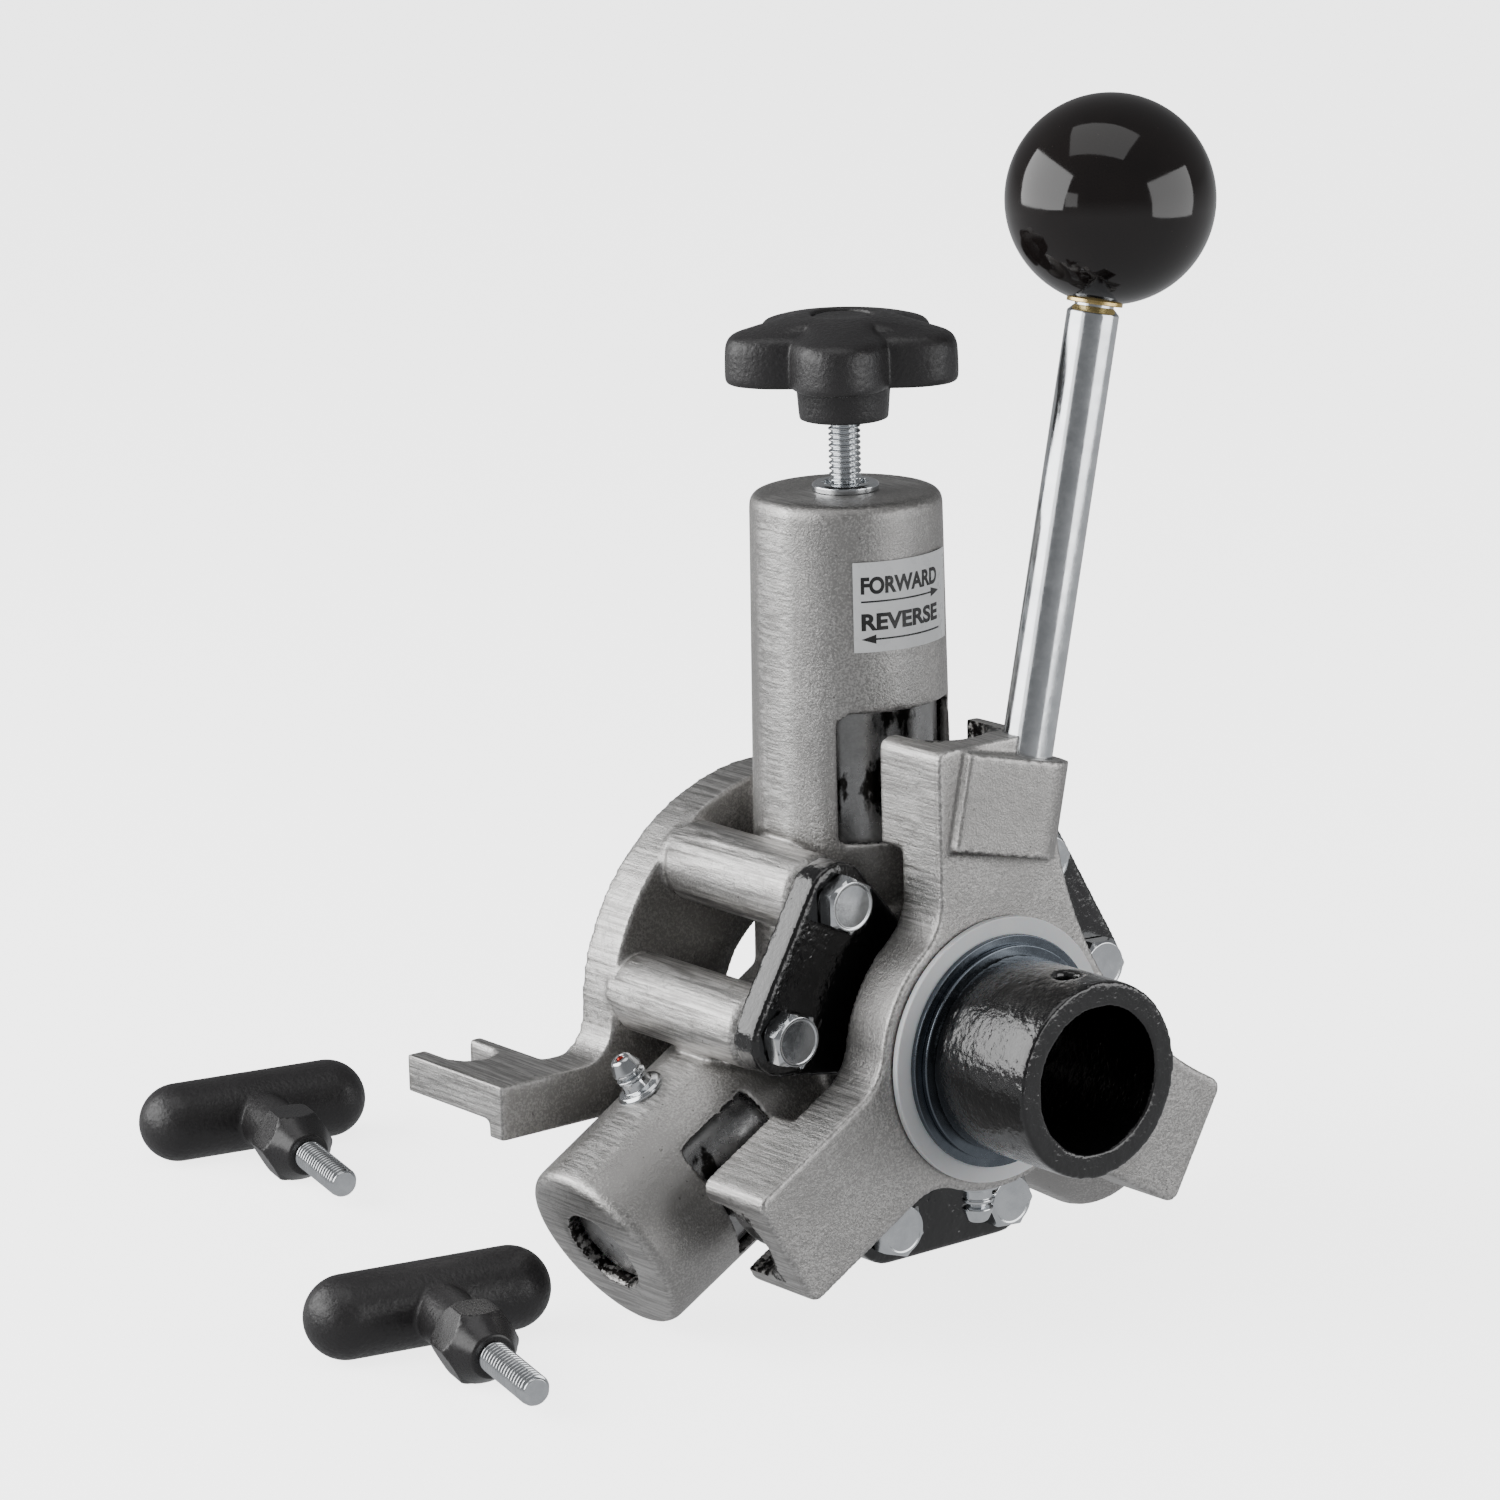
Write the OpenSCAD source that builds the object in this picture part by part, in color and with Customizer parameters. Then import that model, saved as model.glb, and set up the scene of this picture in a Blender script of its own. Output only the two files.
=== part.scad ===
// Cable power feed with three skewing rollers, a feed lever and two loose tee handles.
// Frame: +Y runs along the cable towards the machine, +Z runs up the adjusting barrel,
// and the origin is the centre of the cable hole at the rear plate's back face.

/* [Body casting] */
// Plane of the three barrel axes, measured forward from the rear face
barrel_plane = 38; // [37:0.5:39]
// Radius of a barrel at the middle of the casting
barrel_root_r = 25.2; // [24.9:0.1:25.5]
// Radius that each barrel loses per millimetre of its length, for draft
barrel_draft = 0.0115; // [0.008:0.0005:0.014]
// Length of the two lower barrels from the cable axis
low_barrel_len = 93.7; // [92:0.1:96]
// Length of the upper barrel from the cable axis
top_barrel_len = 130.7; // [129:0.1:134]
// Radius of the holder bore in each barrel
holder_bore_r = 21.4; // [21.2:0.1:21.6]
// Outside radius of the rear plate
plate_r = 57.6; // [57:0.1:59]
// Thickness of the rear plate
plate_t = 13; // [12:0.5:14]
// Radius of the cable hole through the rear plate
inlet_r = 22; // [21:0.5:22.4]
// Half the distance between the outer ends of the two ears
ear_reach = 91.8; // [90:0.1:94]
// Height of the ears' top face
ear_top = -8.5; // [-10:0.5:-7]

/* [Nose] */
// Outside radius of the nose tube
tube_r = 24.15; // [23.9:0.05:24.4]
// Radius of the cable bore through the nose
tube_bore_r = 18; // [16:0.5:19]
// Distance of the nose's front end from the rear face
nose_front = 129; // [126:1:134]
// Radius of the circle on which the flange bolts stand
bolt_circle_r = 49.5; // [49:0.1:50]
// Angle of each bolt from the middle line of its flange ear
bolt_spread = 20.7; // [20:0.1:21.5]

/* [Yoke and lever] */
// Radius of the yoke's hub
hub_r = 35.7; // [35:0.1:37]
// Width of a yoke arm
arm_w = 33; // [32:0.5:34]
// Reach of a yoke arm from the cable axis
arm_reach = 76.4; // [75:0.2:78]
// Lean of the lever from upright
lever_lean = 12.4; // [10:0.1:14]
// Diameter of the lever rod
rod_d = 12.7; // [12:0.1:13]
// Distance of the ball's centre from the cable axis
ball_reach = 207.2; // [200:0.1:215]
// Diameter of the ball knob
ball_d = 50.8; // [45:0.1:52]

/* [Feed screw] */
// Diameter over the star knob's lobes
knob_d = 59; // [54:0.5:62]
// Height of the knob hub's lower end above the cable axis
knob_base = 148.3; // [147:0.1:152]
// Major diameter of the feed screw
screw_d = 7.94; // [7.9:0.01:8]

/* [Tee handles] */
// Diameter of a tee handle's bar
tee_bar_d = 21; // [19:0.5:22]
// Distance between the centres of the bar's round ends
tee_bar_span = 43; // [38:0.5:48]
// Distance from the bar's centre line to the stud's end
tee_reach = 64; // [60:0.5:70]

/* [Hidden] */

$fn = 72;
eps = 0.01;
far = 400;
// How far a blend or a slot's side passes its tangent point, so that the faces cross cleanly
overrun = 0.05;

// Turns about the cable axis that carry an upright part onto each barrel
TOP_TURN = 0;
LEFT_TURN = -120;
RIGHT_TURN = 120;
TURNS = [TOP_TURN, LEFT_TURN, RIGHT_TURN];
LOW_TURNS = [LEFT_TURN, RIGHT_TURN];

// Housing
rim_round = 3;
low_wall = 4.7;
top_wall = 9.7;
end_hole_r = 11.25;
boss_r = 9;
boss_front = 63;
boss_root = 2;
passage_r = 22.6;
front_ring_r = 31;
front_ring_t = 11;
window_half_w = 17.4;
window_lo = 47.3;
top_window_hi = 79.5;
low_window_hi = 70.3;
window_corner_r = 3;
rib_half_w = 11;
rib_reach = 52;
ear_t = 9.5;
ear_len = 40;
ear_inner = 69;
lip_t = 6;
lip_drop = 14;
ear_fillet_r = 9;
notch_r = 6.5;
notch_x = 79.5;
notch_front = 10.7;
low_bore_end = low_barrel_len - low_wall;
top_bore_end = top_barrel_len - top_wall;

// Nose flange and its bolts
flange_front = 71;
flange_t = 8;
flange_lobe_r = 9.75;
flange_core_r = 31;
cross_hole_r = 3.3;
cross_hole_at = 118.4;
bolt_r = 3.97;
bolt_hole_r = 4.05;
bolt_len = 32;
head_af = 12.7;
head_h = 4.6;
head_washer_h = 0.6;

// Yoke
yoke_front = 91.5;
web_back = 76.8;
prong_back = 69;
slot_r = 11;
slot_plane = 73;
slot_from = 50;
bush_outer_r = 26.65;
bush_inner_r = 24.22;
blend_r = 14;
lever_plane = 88.2;
// The rod's axis passes a little beside the cable axis
lever_shift = -1.7;
lever_boss_r = 10.4;
lever_boss_lo = 48;
lever_boss_hi = 72.1;
lever_hole_lo = 55.3;
boss_toe_x = -23;
boss_step = 2.8;
shoulder_x = 19.6;
shoulder_r = 100;
rod_top = ball_reach - ball_d / 2 - 0.6;
neck_r = 4.76;
insert_r = 6.8;
insert_len = 16;

// Washers in front of the yoke
nylon_r = 33;
nylon_t = 1.8;
steel_r = 28.8;
steel_t = 1.5;
ring_r = 26.6;
ring_t = 1.6;
groove_r = 23;
side_gap = 0.3;
nylon_front = yoke_front + side_gap + nylon_t;
steel_front = nylon_front + steel_t;
ring_front = steel_front + ring_t;

// Feed screw, bushing and spring pack
bushing_r = 6.4;
bushing_flange_r = 8.3;
bushing_flange_h = 2;
bushing_bore_r = 4.02;
bushing_top_r = 5.6;
knob_hub_r = 11;
knob_lobe_lo = 158.2;
knob_lobe_hi = 170.8;
knob_top = 174.2;
lobe_r = 9.2;
lobe_count = 5;
valley_r = 8.5;
cap_lo = 104;
cap_h = 6.5;
cap_r = 16;
socket_depth = 4;
seat_lo = 89.4;
seat_h = 3;
spring_r = 12.8;
spring_wire_r = 1.9;
spring_coils = 2.5;
spring_steps = 16;
spring_sides = 8;

// Roller holders, rollers and their small parts
holder_r = 21.3;
holder_in = 15.5;
holder_out = 88.6;
roller_at = 23;
roller_r = 15;
roller_half_w = 6.6;
fork_half_w = 7.4;
fork_depth = 39.5;
axle_r = 4;
axle_half_len = 17.5;
bush_r = 6;
bush_bore_r = 4.06;
pin_r = 1.2;
pin_at = 13.5;
pin_len = 11.4;
lug_at = 63;
lug_throw = 35;
lug_r = 10.6;
// The top lug has more play, because its place along the slot changes as the screw lifts it
top_lug_r = 9.4;
lug_half_h = 8.4;
neck_w_r = 6.6;
stem_r = 11.1;
stem_len = 1.6;
washer_t = 0.35;

// Grease fittings
fitting_flange_r = 6.2;
fitting_flange_h = 1.6;
fitting_neck_r = 2.5;
fitting_root = 2;
fitting_head_r = 3.25;
fitting_len = 10.5;
fitting_at = 61;
fitting_tilt = 10;
yoke_fitting_plane = 83.5;

// Direction label
label_lo = 95;
label_hi = 117.2;
label_half_angle = 36;
label_in_r = 24.12;
label_out_r = 24.4;

// Loose tee handles, lying on the surface that the lower barrels touch
floor_z = -67.8;
tee_z = floor_z + tee_bar_d / 2;
tee_dip = 3;
tee_azimuth = -102;
tee_stem_r = 7.4;
collar_from = 23.5;
collar_to = 39.5;
collar_af = 17.6;
collar_hex_len = 8.5;
stud_core_from = 18;
stud_core_r = 3.6;
REAR_TEE_AT = [-58.7, 149, tee_z];
FRONT_TEE_AT = [-116.8, -14.3, tee_z];

// Place a child, modelled along +Z, on the barrel at the given turn
module on_barrel(turn) {
    translate([0, -barrel_plane, 0]) rotate([0, turn, 0]) children();
}

// Place a child, modelled along +Z, so that it runs forward (-Y) from a distance in front of the rear face
module forward_from(distance) {
    translate([0, -distance, 0]) rotate([90, 0, 0]) children();
}

// Place a child on the lever's axis, with +Z up the lever
module on_lever() {
    translate([lever_shift, -lever_plane, 0]) rotate([0, lever_lean, 0]) children();
}

// A ring or washer that runs forward from a distance, with a true bore
module forward_ring(distance, outer_r, inner_r, length) {
    forward_from(distance) difference() {
        cylinder(h = length, r = outer_r);
        translate([0, 0, -1]) cylinder(h = length + 2, r = inner_r);
    }
}

// The places of the six flange bolts, as turns about the cable axis
bolt_turns = [for (turn = [60, 180, 300], side = [-1, 1]) turn + side * bolt_spread];

module at_bolts() {
    for (turn = bolt_turns) rotate([0, turn, 0]) translate([0, 0, bolt_circle_r]) children();
}

// ---- Housing ----

// A drafted barrel with a rounded rim
module barrel(length) {
    end_r = barrel_root_r - barrel_draft * length;
    rotate_extrude() intersection() {
        union() {
            polygon([[0, 0], [barrel_root_r, 0], [end_r, length - rim_round], [0, length - rim_round]]);
            square([end_r - rim_round, length]);
            translate([end_r - rim_round, length - rim_round]) circle(rim_round);
        }
        square([far, far]);
    }
}

module rear_plate() {
    rotate([90, 0, 0]) cylinder(h = plate_t, r = plate_r);
}

// The blend between an ear's top face and the rim of the rear plate
module ear_blend() {
    blend_z = ear_top + ear_fillet_r;
    blend_x = sqrt(pow(plate_r + ear_fillet_r, 2) - pow(blend_z, 2));
    rotate([90, 0, 0]) linear_extrude(plate_t) difference() {
        polygon([[0, ear_top], [-blend_x, ear_top], [-blend_x, blend_z], [0, 0]]);
        translate([-blend_x, blend_z]) circle(ear_fillet_r + overrun);
    }
}

// The left ear, with its open notch for a tee handle's stud
module left_ear() {
    difference() {
        union() {
            translate([-ear_reach, -plate_t, ear_top - ear_t])
                cube([ear_reach - 40, plate_t, ear_t]);
            translate([-ear_reach, -plate_t, ear_top - ear_t])
                cube([ear_reach - ear_inner, ear_len, ear_t]);
            translate([-ear_reach, -plate_t, ear_top - lip_drop])
                cube([ear_reach - 45, lip_t, lip_drop]);
        }
        translate([-notch_x, notch_front + notch_r, ear_top - ear_t - 1])
            cylinder(h = ear_t + 2, r = notch_r);
        translate([-notch_x - notch_r + overrun, notch_front + notch_r, ear_top - ear_t - 1])
            cube([2 * (notch_r - overrun), far, ear_t + 2]);
    }
    ear_blend();
}

// The opening in a barrel's front wall, with rounded outer corners, up to a height along the barrel
module window(top) {
    inset = window_half_w - window_corner_r;
    translate([-window_half_w, -30, window_lo])
        cube([2 * window_half_w, 20, top - window_corner_r - window_lo]);
    translate([-inset, -30, window_lo]) cube([2 * inset, 20, top - window_lo]);
    for (side = [-1, 1]) translate([side * inset, -10, top - window_corner_r]) rotate([90, 0, 0])
        cylinder(h = 20, r = window_corner_r);
}

module housing_solid() {
    on_barrel(TOP_TURN) barrel(top_barrel_len);
    for (turn = LOW_TURNS) on_barrel(turn) barrel(low_barrel_len);
    for (turn = TURNS) on_barrel(turn)
        translate([-rib_half_w, 0, 18]) cube([2 * rib_half_w, barrel_plane - plate_t + eps, rib_reach - 18]);
    at_bolts() forward_from(plate_t - boss_root) cylinder(h = boss_front - plate_t + boss_root, r = boss_r);
    forward_from(boss_front - front_ring_t) cylinder(h = front_ring_t, r = front_ring_r);
    rear_plate();
    left_ear();
    mirror([1, 0, 0]) left_ear();
}

module housing() {
    color("silver") difference() {
        housing_solid();
        forward_from(-1) cylinder(h = plate_t + 2, r = inlet_r);
        forward_from(plate_t) cylinder(h = boss_front - plate_t + 1, r = passage_r);
        on_barrel(TOP_TURN) cylinder(h = top_bore_end, r = holder_bore_r);
        on_barrel(TOP_TURN) cylinder(h = far, r = bushing_r);
        for (turn = LOW_TURNS) on_barrel(turn) {
            cylinder(h = low_bore_end, r = holder_bore_r);
            cylinder(h = far, r = end_hole_r);
        }
        on_barrel(TOP_TURN) window(top_window_hi);
        for (turn = LOW_TURNS) on_barrel(turn) window(low_window_hi);
        at_bolts() forward_from(barrel_plane) cylinder(h = far, r = bolt_hole_r);
    }
}

// ---- Nose ----

// One two-bolt ear of the flange: two round ends and the metal between them
module flange_ear() {
    side_x = bolt_circle_r * sin(bolt_spread);
    bolt_z = bolt_circle_r * cos(bolt_spread);
    for (side = [-1, 1]) translate([side * side_x, bolt_z]) circle(flange_lobe_r);
    translate([-side_x, bolt_z]) square([2 * side_x, flange_lobe_r]);
    polygon([[-side_x - 8.6, bolt_z - 4.6], [side_x + 8.6, bolt_z - 4.6], [side_x, bolt_z + flange_lobe_r],
        [-side_x, bolt_z + flange_lobe_r]]);
    polygon([[-side_x - 8.6, bolt_z - 4.6], [side_x + 8.6, bolt_z - 4.6], [17, 17], [-17, 17]]);
}

module nose() {
    color([0.07, 0.07, 0.07]) difference() {
        union() {
            forward_from(flange_front - flange_t)
                cylinder(h = nose_front - flange_front + flange_t, r = tube_r);
            forward_from(flange_front - flange_t) cylinder(h = flange_t, r = flange_core_r);
            for (turn = [60, 180, 300]) translate([0, -flange_front + flange_t, 0]) rotate([90, 0, 0])
                linear_extrude(flange_t) rotate(-turn) flange_ear();
        }
        forward_from(0) cylinder(h = far, r = tube_bore_r);
        at_bolts() forward_from(barrel_plane) cylinder(h = far, r = bolt_hole_r);
        translate([0, -cross_hole_at, 0]) cylinder(h = far, r = cross_hole_r);
        forward_ring(steel_front, tube_r + 5, groove_r, ring_t);
    }
}

module nose_bolts() {
    color("lightgray") at_bolts() {
        forward_from(flange_front - bolt_len) cylinder(h = bolt_len, r = bolt_r);
        forward_from(flange_front) cylinder(h = head_washer_h, r = head_af / 2 - 0.2);
        forward_from(flange_front + head_washer_h) cylinder(h = head_h, r = head_af / sqrt(3), $fn = 6);
    }
}

module feed_bushing() {
    color("gainsboro") translate([0, -barrel_plane, 0]) difference() {
        union() {
            translate([0, 0, top_bore_end]) cylinder(h = top_wall, r = bushing_r);
            translate([0, 0, top_barrel_len]) cylinder(h = bushing_flange_h, r = bushing_flange_r);
        }
        cylinder(h = far, r = bushing_bore_r);
        translate([0, 0, top_barrel_len + 0.6]) cylinder(h = far, r = bushing_top_r);
    }
}

// A press-in grease fitting that stands up along +Z
module grease_fitting() {
    translate([0, 0, -fitting_root]) cylinder(h = fitting_root + 2, r = fitting_neck_r);
    cylinder(h = fitting_flange_h, r = fitting_flange_r);
    cylinder(h = fitting_len - 4, r = fitting_neck_r);
    translate([0, 0, fitting_len - 4.6]) cylinder(h = 2.2, r1 = 2.1, r2 = fitting_head_r);
    translate([0, 0, fitting_len - 2.4]) cylinder(h = 2.4, r1 = fitting_head_r, r2 = 1.9);
}

module barrel_grease_fittings() {
    base_r = barrel_root_r - barrel_draft * fitting_at - 0.6;
    color("silver") {
        on_barrel(LEFT_TURN) translate([0, 0, fitting_at]) rotate([0, 90, fitting_tilt])
            translate([0, 0, base_r]) grease_fitting();
        on_barrel(RIGHT_TURN) translate([0, 0, fitting_at]) rotate([0, -90, -fitting_tilt])
            translate([0, 0, base_r]) grease_fitting();
        on_barrel(TOP_TURN) translate([0, 0, fitting_at]) rotate([0, 90, 60])
            translate([0, 0, base_r]) grease_fitting();
    }
}

module direction_label() {
    color("white") on_barrel(TOP_TURN) translate([0, 0, label_lo])
        rotate(-90 - label_half_angle) rotate_extrude(angle = 2 * label_half_angle)
            translate([label_in_r, 0]) square([label_out_r - label_in_r, label_hi - label_lo]);
}

module thrust_washers() {
    color("darkgoldenrod") for (turn = LOW_TURNS) on_barrel(turn) translate([0, 0, low_bore_end - washer_t])
        difference() {
            cylinder(h = washer_t, r = holder_bore_r);
            translate([0, 0, -1]) cylinder(h = 3, r = end_hole_r);
        }
}

module nylon_washer() {
    color("white") forward_ring(yoke_front + side_gap, nylon_r, tube_r + 0.3, nylon_t);
}

module steel_washer() {
    color("slategray") forward_ring(nylon_front, steel_r, tube_r + 0.15, steel_t);
}

module retaining_ring() {
    color("dimgray") forward_ring(steel_front, ring_r, groove_r, ring_t);
}

// ---- Yoke and lever ----

// The blend between a yoke arm's side and the hub, on one side of the arm
module arm_blend() {
    centre_x = arm_w / 2 + blend_r;
    centre_z = sqrt(pow(hub_r + blend_r, 2) - pow(centre_x, 2));
    difference() {
        polygon([[0, 0], [0, centre_z], [centre_x, centre_z]]);
        translate([centre_x, centre_z]) circle(blend_r + overrun);
    }
}

module arm_outline() {
    corner = 3;
    translate([-arm_w / 2, 0]) square([arm_w, arm_reach - corner]);
    translate([-arm_w / 2 + corner, 0]) square([arm_w - 2 * corner, arm_reach]);
    for (side = [-1, 1]) translate([side * (arm_w / 2 - corner), arm_reach - corner]) circle(corner);
    arm_blend();
    mirror([1, 0]) arm_blend();
}

// The outer end of an arm, where it is deep enough to make the two prongs
module arm_end_outline() {
    intersection() {
        arm_outline();
        translate([-arm_w, slot_from]) square([2 * arm_w, far]);
    }
}

// The fuller web on the lever's side: one long curve from the upright arm to the arm on its right
module shoulder() {
    arm_turn = TURNS[2] / 2;
    centre_x = shoulder_x + shoulder_r;
    centre_z = (shoulder_r + arm_w / 2 - centre_x * cos(arm_turn)) / sin(arm_turn);
    lower_end = [centre_x - shoulder_r * cos(arm_turn), centre_z - shoulder_r * sin(arm_turn)];
    difference() {
        polygon([[0, 0], [0, centre_z], [centre_x, centre_z], lower_end]);
        translate([centre_x, centre_z]) circle(shoulder_r + overrun);
    }
}

// The round-bottomed slot in the back of an arm that takes a holder's lug
module arm_slot() {
    translate([0, -slot_plane, slot_from]) cylinder(h = far, r = slot_r);
    translate([-slot_r + overrun, -slot_plane, slot_from]) cube([2 * (slot_r - overrun), 20, far]);
}

// The lever boss: a round post with a toe that ends in a low step on the arm's face
module lever_boss() {
    toe = [boss_toe_x, lever_plane - yoke_front - boss_step];
    span = norm(toe);
    touch_r = lever_boss_r - overrun;
    toe_angle = atan2(-toe[1], -toe[0]) - asin(touch_r / span);
    tangent_len = sqrt(span * span - touch_r * touch_r);
    tangent = toe + tangent_len * [cos(toe_angle), sin(toe_angle)];
    height = lever_boss_hi - lever_boss_lo;
    translate([0, 0, lever_boss_lo]) {
        cylinder(h = height, r = lever_boss_r);
        linear_extrude(height) polygon([toe, tangent, [0, 0], [0, 8], [boss_toe_x, 8]]);
    }
}

module yoke() {
    color("silver") difference() {
        union() {
            forward_from(web_back) linear_extrude(yoke_front - web_back) {
                circle(hub_r);
                for (turn = TURNS) rotate(-turn) arm_outline();
                shoulder();
            }
            forward_from(prong_back) linear_extrude(web_back - prong_back + 1)
                for (turn = TURNS) rotate(-turn) arm_end_outline();
            on_lever() lever_boss();
        }
        for (turn = TURNS) rotate([0, turn, 0]) arm_slot();
        forward_from(0) cylinder(h = far, r = bush_outer_r);
        on_lever() translate([0, 0, lever_hole_lo]) cylinder(h = far, r = rod_d / 2);
    }
}

module yoke_bushing() {
    color("peru") forward_ring(web_back + 0.2, bush_outer_r, bush_inner_r, yoke_front - web_back - 0.4);
}

module yoke_grease_fitting() {
    color("silver") rotate([0, 180, 0]) translate([0, -yoke_fitting_plane, hub_r - 0.4]) grease_fitting();
}

module lever_rod() {
    color("gainsboro") on_lever() {
        translate([0, 0, lever_hole_lo]) cylinder(h = rod_top - lever_hole_lo - 1.5, r = rod_d / 2);
        translate([0, 0, rod_top - 1.5]) cylinder(h = 1.5, r1 = rod_d / 2, r2 = rod_d / 2 - 1.5);
        translate([0, 0, rod_top - eps]) cylinder(h = insert_len + eps, r = neck_r);
    }
}

module ball_knob() {
    color([0.06, 0.05, 0.05]) on_lever() difference() {
        translate([0, 0, ball_reach]) sphere(r = ball_d / 2);
        cylinder(h = rod_top + insert_len + 1, r = insert_r);
    }
}

module ball_insert() {
    color("goldenrod") on_lever() translate([0, 0, rod_top + 0.6]) difference() {
        cylinder(h = insert_len, r = insert_r);
        translate([0, 0, -1]) cylinder(h = insert_len, r = neck_r);
    }
}

// ---- Feed screw group ----

// Outline of the star knob: round lobes on a disc, with a round valley between each pair
module star_outline() {
    lobe_at = knob_d / 2 - lobe_r;
    difference() {
        union() {
            circle(lobe_at + 2);
            for (index = [0:lobe_count - 1]) rotate(index * 360 / lobe_count + 12) translate([lobe_at, 0])
                circle(lobe_r);
        }
        for (index = [0:lobe_count - 1]) rotate((index + 0.5) * 360 / lobe_count + 12)
            translate([knob_d / 2 + 1.5, 0]) circle(valley_r);
    }
}

module star_knob() {
    color([0.13, 0.12, 0.12]) translate([0, -barrel_plane, 0]) difference() {
        union() {
            translate([0, 0, knob_lobe_lo]) linear_extrude(knob_lobe_hi - knob_lobe_lo) star_outline();
            translate([0, 0, knob_base])
                cylinder(h = knob_lobe_hi - knob_base, r1 = knob_hub_r, r2 = knob_hub_r + 1.2);
            translate([0, 0, knob_lobe_hi - eps])
                cylinder(h = knob_top - knob_lobe_hi, r1 = knob_d / 2 - 12, r2 = knob_hub_r + 1);
        }
        cylinder(h = knob_lobe_hi - 4, r = screw_d / 2);
        translate([0, 0, knob_top - 2.5]) cylinder(h = 5, r = 7.5);
    }
}

module knob_cap() {
    color([0.13, 0.12, 0.12]) translate([0, -barrel_plane, knob_top - 2.5]) cylinder(h = 2, r = 7.4);
}

module feed_screw() {
    low_end = cap_lo + cap_h - socket_depth;
    color("gainsboro") translate([0, -barrel_plane, low_end])
        cylinder(h = knob_lobe_hi - 4 - low_end, r = screw_d / 2);
}

module spring_cap() {
    color("dimgray") translate([0, -barrel_plane, cap_lo]) difference() {
        cylinder(h = cap_h, r = cap_r);
        translate([0, 0, cap_h - socket_depth]) cylinder(h = far, r = bushing_bore_r);
    }
}

// A coil spring with closed ends: rings of points on the wire, joined side by side
module pressure_spring() {
    low_z = seat_lo + seat_h + spring_wire_r + 0.1;
    high_z = cap_lo - spring_wire_r - 0.1;
    lift = high_z - low_z;
    last = spring_coils * spring_steps;
    function wire_point(step, side) = let (
        turn = 360 * step / spring_steps,
        around = 360 * side / spring_sides,
        out = spring_r + spring_wire_r * cos(around)
    ) [out * cos(turn), out * sin(turn), low_z + lift * step / last + spring_wire_r * sin(around)];
    points = [for (step = [0:last], side = [0:spring_sides - 1]) wire_point(step, side)];
    walls = [for (step = [0:last - 1], side = [0:spring_sides - 1]) let (
        here = step * spring_sides + side,
        beside = step * spring_sides + (side + 1) % spring_sides
    ) [here, beside, beside + spring_sides, here + spring_sides]];
    start = [for (side = [spring_sides - 1:-1:0]) side];
    end = [for (side = [0:spring_sides - 1]) last * spring_sides + side];
    color("steelblue") translate([0, -barrel_plane, 0])
        polyhedron(points = points, faces = concat(walls, [start, end]), convexity = 10);
}

module spring_seat() {
    color("dimgray") translate([0, -barrel_plane, seat_lo]) difference() {
        cylinder(h = seat_h, r = cap_r);
        translate([0, 0, -1]) cylinder(h = seat_h + 2, r = stem_r);
    }
}

// ---- Roller holders ----

// A holder stands along +Z: fork and roller at the cable end, round lug out through the window
module holder(ball_r) {
    difference() {
        union() {
            translate([0, 0, holder_in]) cylinder(h = holder_out - holder_in, r = holder_r);
            translate([0, 0, holder_out - eps]) cylinder(h = stem_len, r = stem_r - 0.4);
            translate([0, -lug_throw, lug_at]) rotate([-90, 0, 0]) cylinder(h = lug_throw, r = neck_w_r);
            intersection() {
                translate([0, -lug_throw, lug_at]) sphere(r = ball_r);
                translate([0, -lug_throw, lug_at]) cube([far, far, 2 * lug_half_h], center = true);
            }
        }
        translate([-far / 2, -fork_half_w, 0]) cube([far, 2 * fork_half_w, fork_depth]);
        translate([0, 0, roller_at]) rotate([90, 0, 0]) cylinder(h = far, r = axle_r, center = true);
        for (side = [-1, 1]) translate([0, side * pin_at, holder_in - 1])
            cylinder(h = pin_len + 1.1, r = pin_r);
    }
}

module axle() {
    translate([0, 0, roller_at]) rotate([90, 0, 0]) difference() {
        cylinder(h = 2 * axle_half_len, r = axle_r, center = true);
        for (side = [-1, 1]) translate([0, 0, side * pin_at]) rotate([90, 0, 0])
            cylinder(h = far, r = pin_r, center = true);
    }
}

module axle_pins() {
    for (side = [-1, 1]) translate([0, side * pin_at, holder_in + 0.5])
        cylinder(h = pin_len - 0.5, r = pin_r);
}

module roller() {
    translate([0, 0, roller_at]) rotate([90, 0, 0]) rotate_extrude() difference() {
        translate([bush_r, -roller_half_w]) square([roller_r - bush_r, 2 * roller_half_w]);
        for (side = [-1, 1]) translate([roller_r, side * roller_half_w]) rotate(45)
            square(1.6, center = true);
    }
}

module roller_bush() {
    translate([0, 0, roller_at]) rotate([90, 0, 0]) difference() {
        cylinder(h = 2 * roller_half_w + 1, r = bush_r, center = true);
        cylinder(h = far, r = bush_bore_r, center = true);
    }
}

module holder_node(turn, ball_r) {
    color("darkgray") on_barrel(turn) holder(ball_r);
}

module axle_node(turn) {
    color("gray") on_barrel(turn) axle();
}

module axle_pins_node(turn) {
    color("dimgray") on_barrel(turn) axle_pins();
}

module roller_node(turn) {
    color("gainsboro") on_barrel(turn) roller();
}

module roller_bush_node(turn) {
    color("peru") on_barrel(turn) roller_bush();
}

// ---- Tee handles ----

// Place a child, modelled with its stud along +X, where a loose handle lies
module at_tee(place) {
    translate(place) rotate([0, 0, tee_azimuth]) rotate([0, tee_dip, 0]) children();
}

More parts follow.
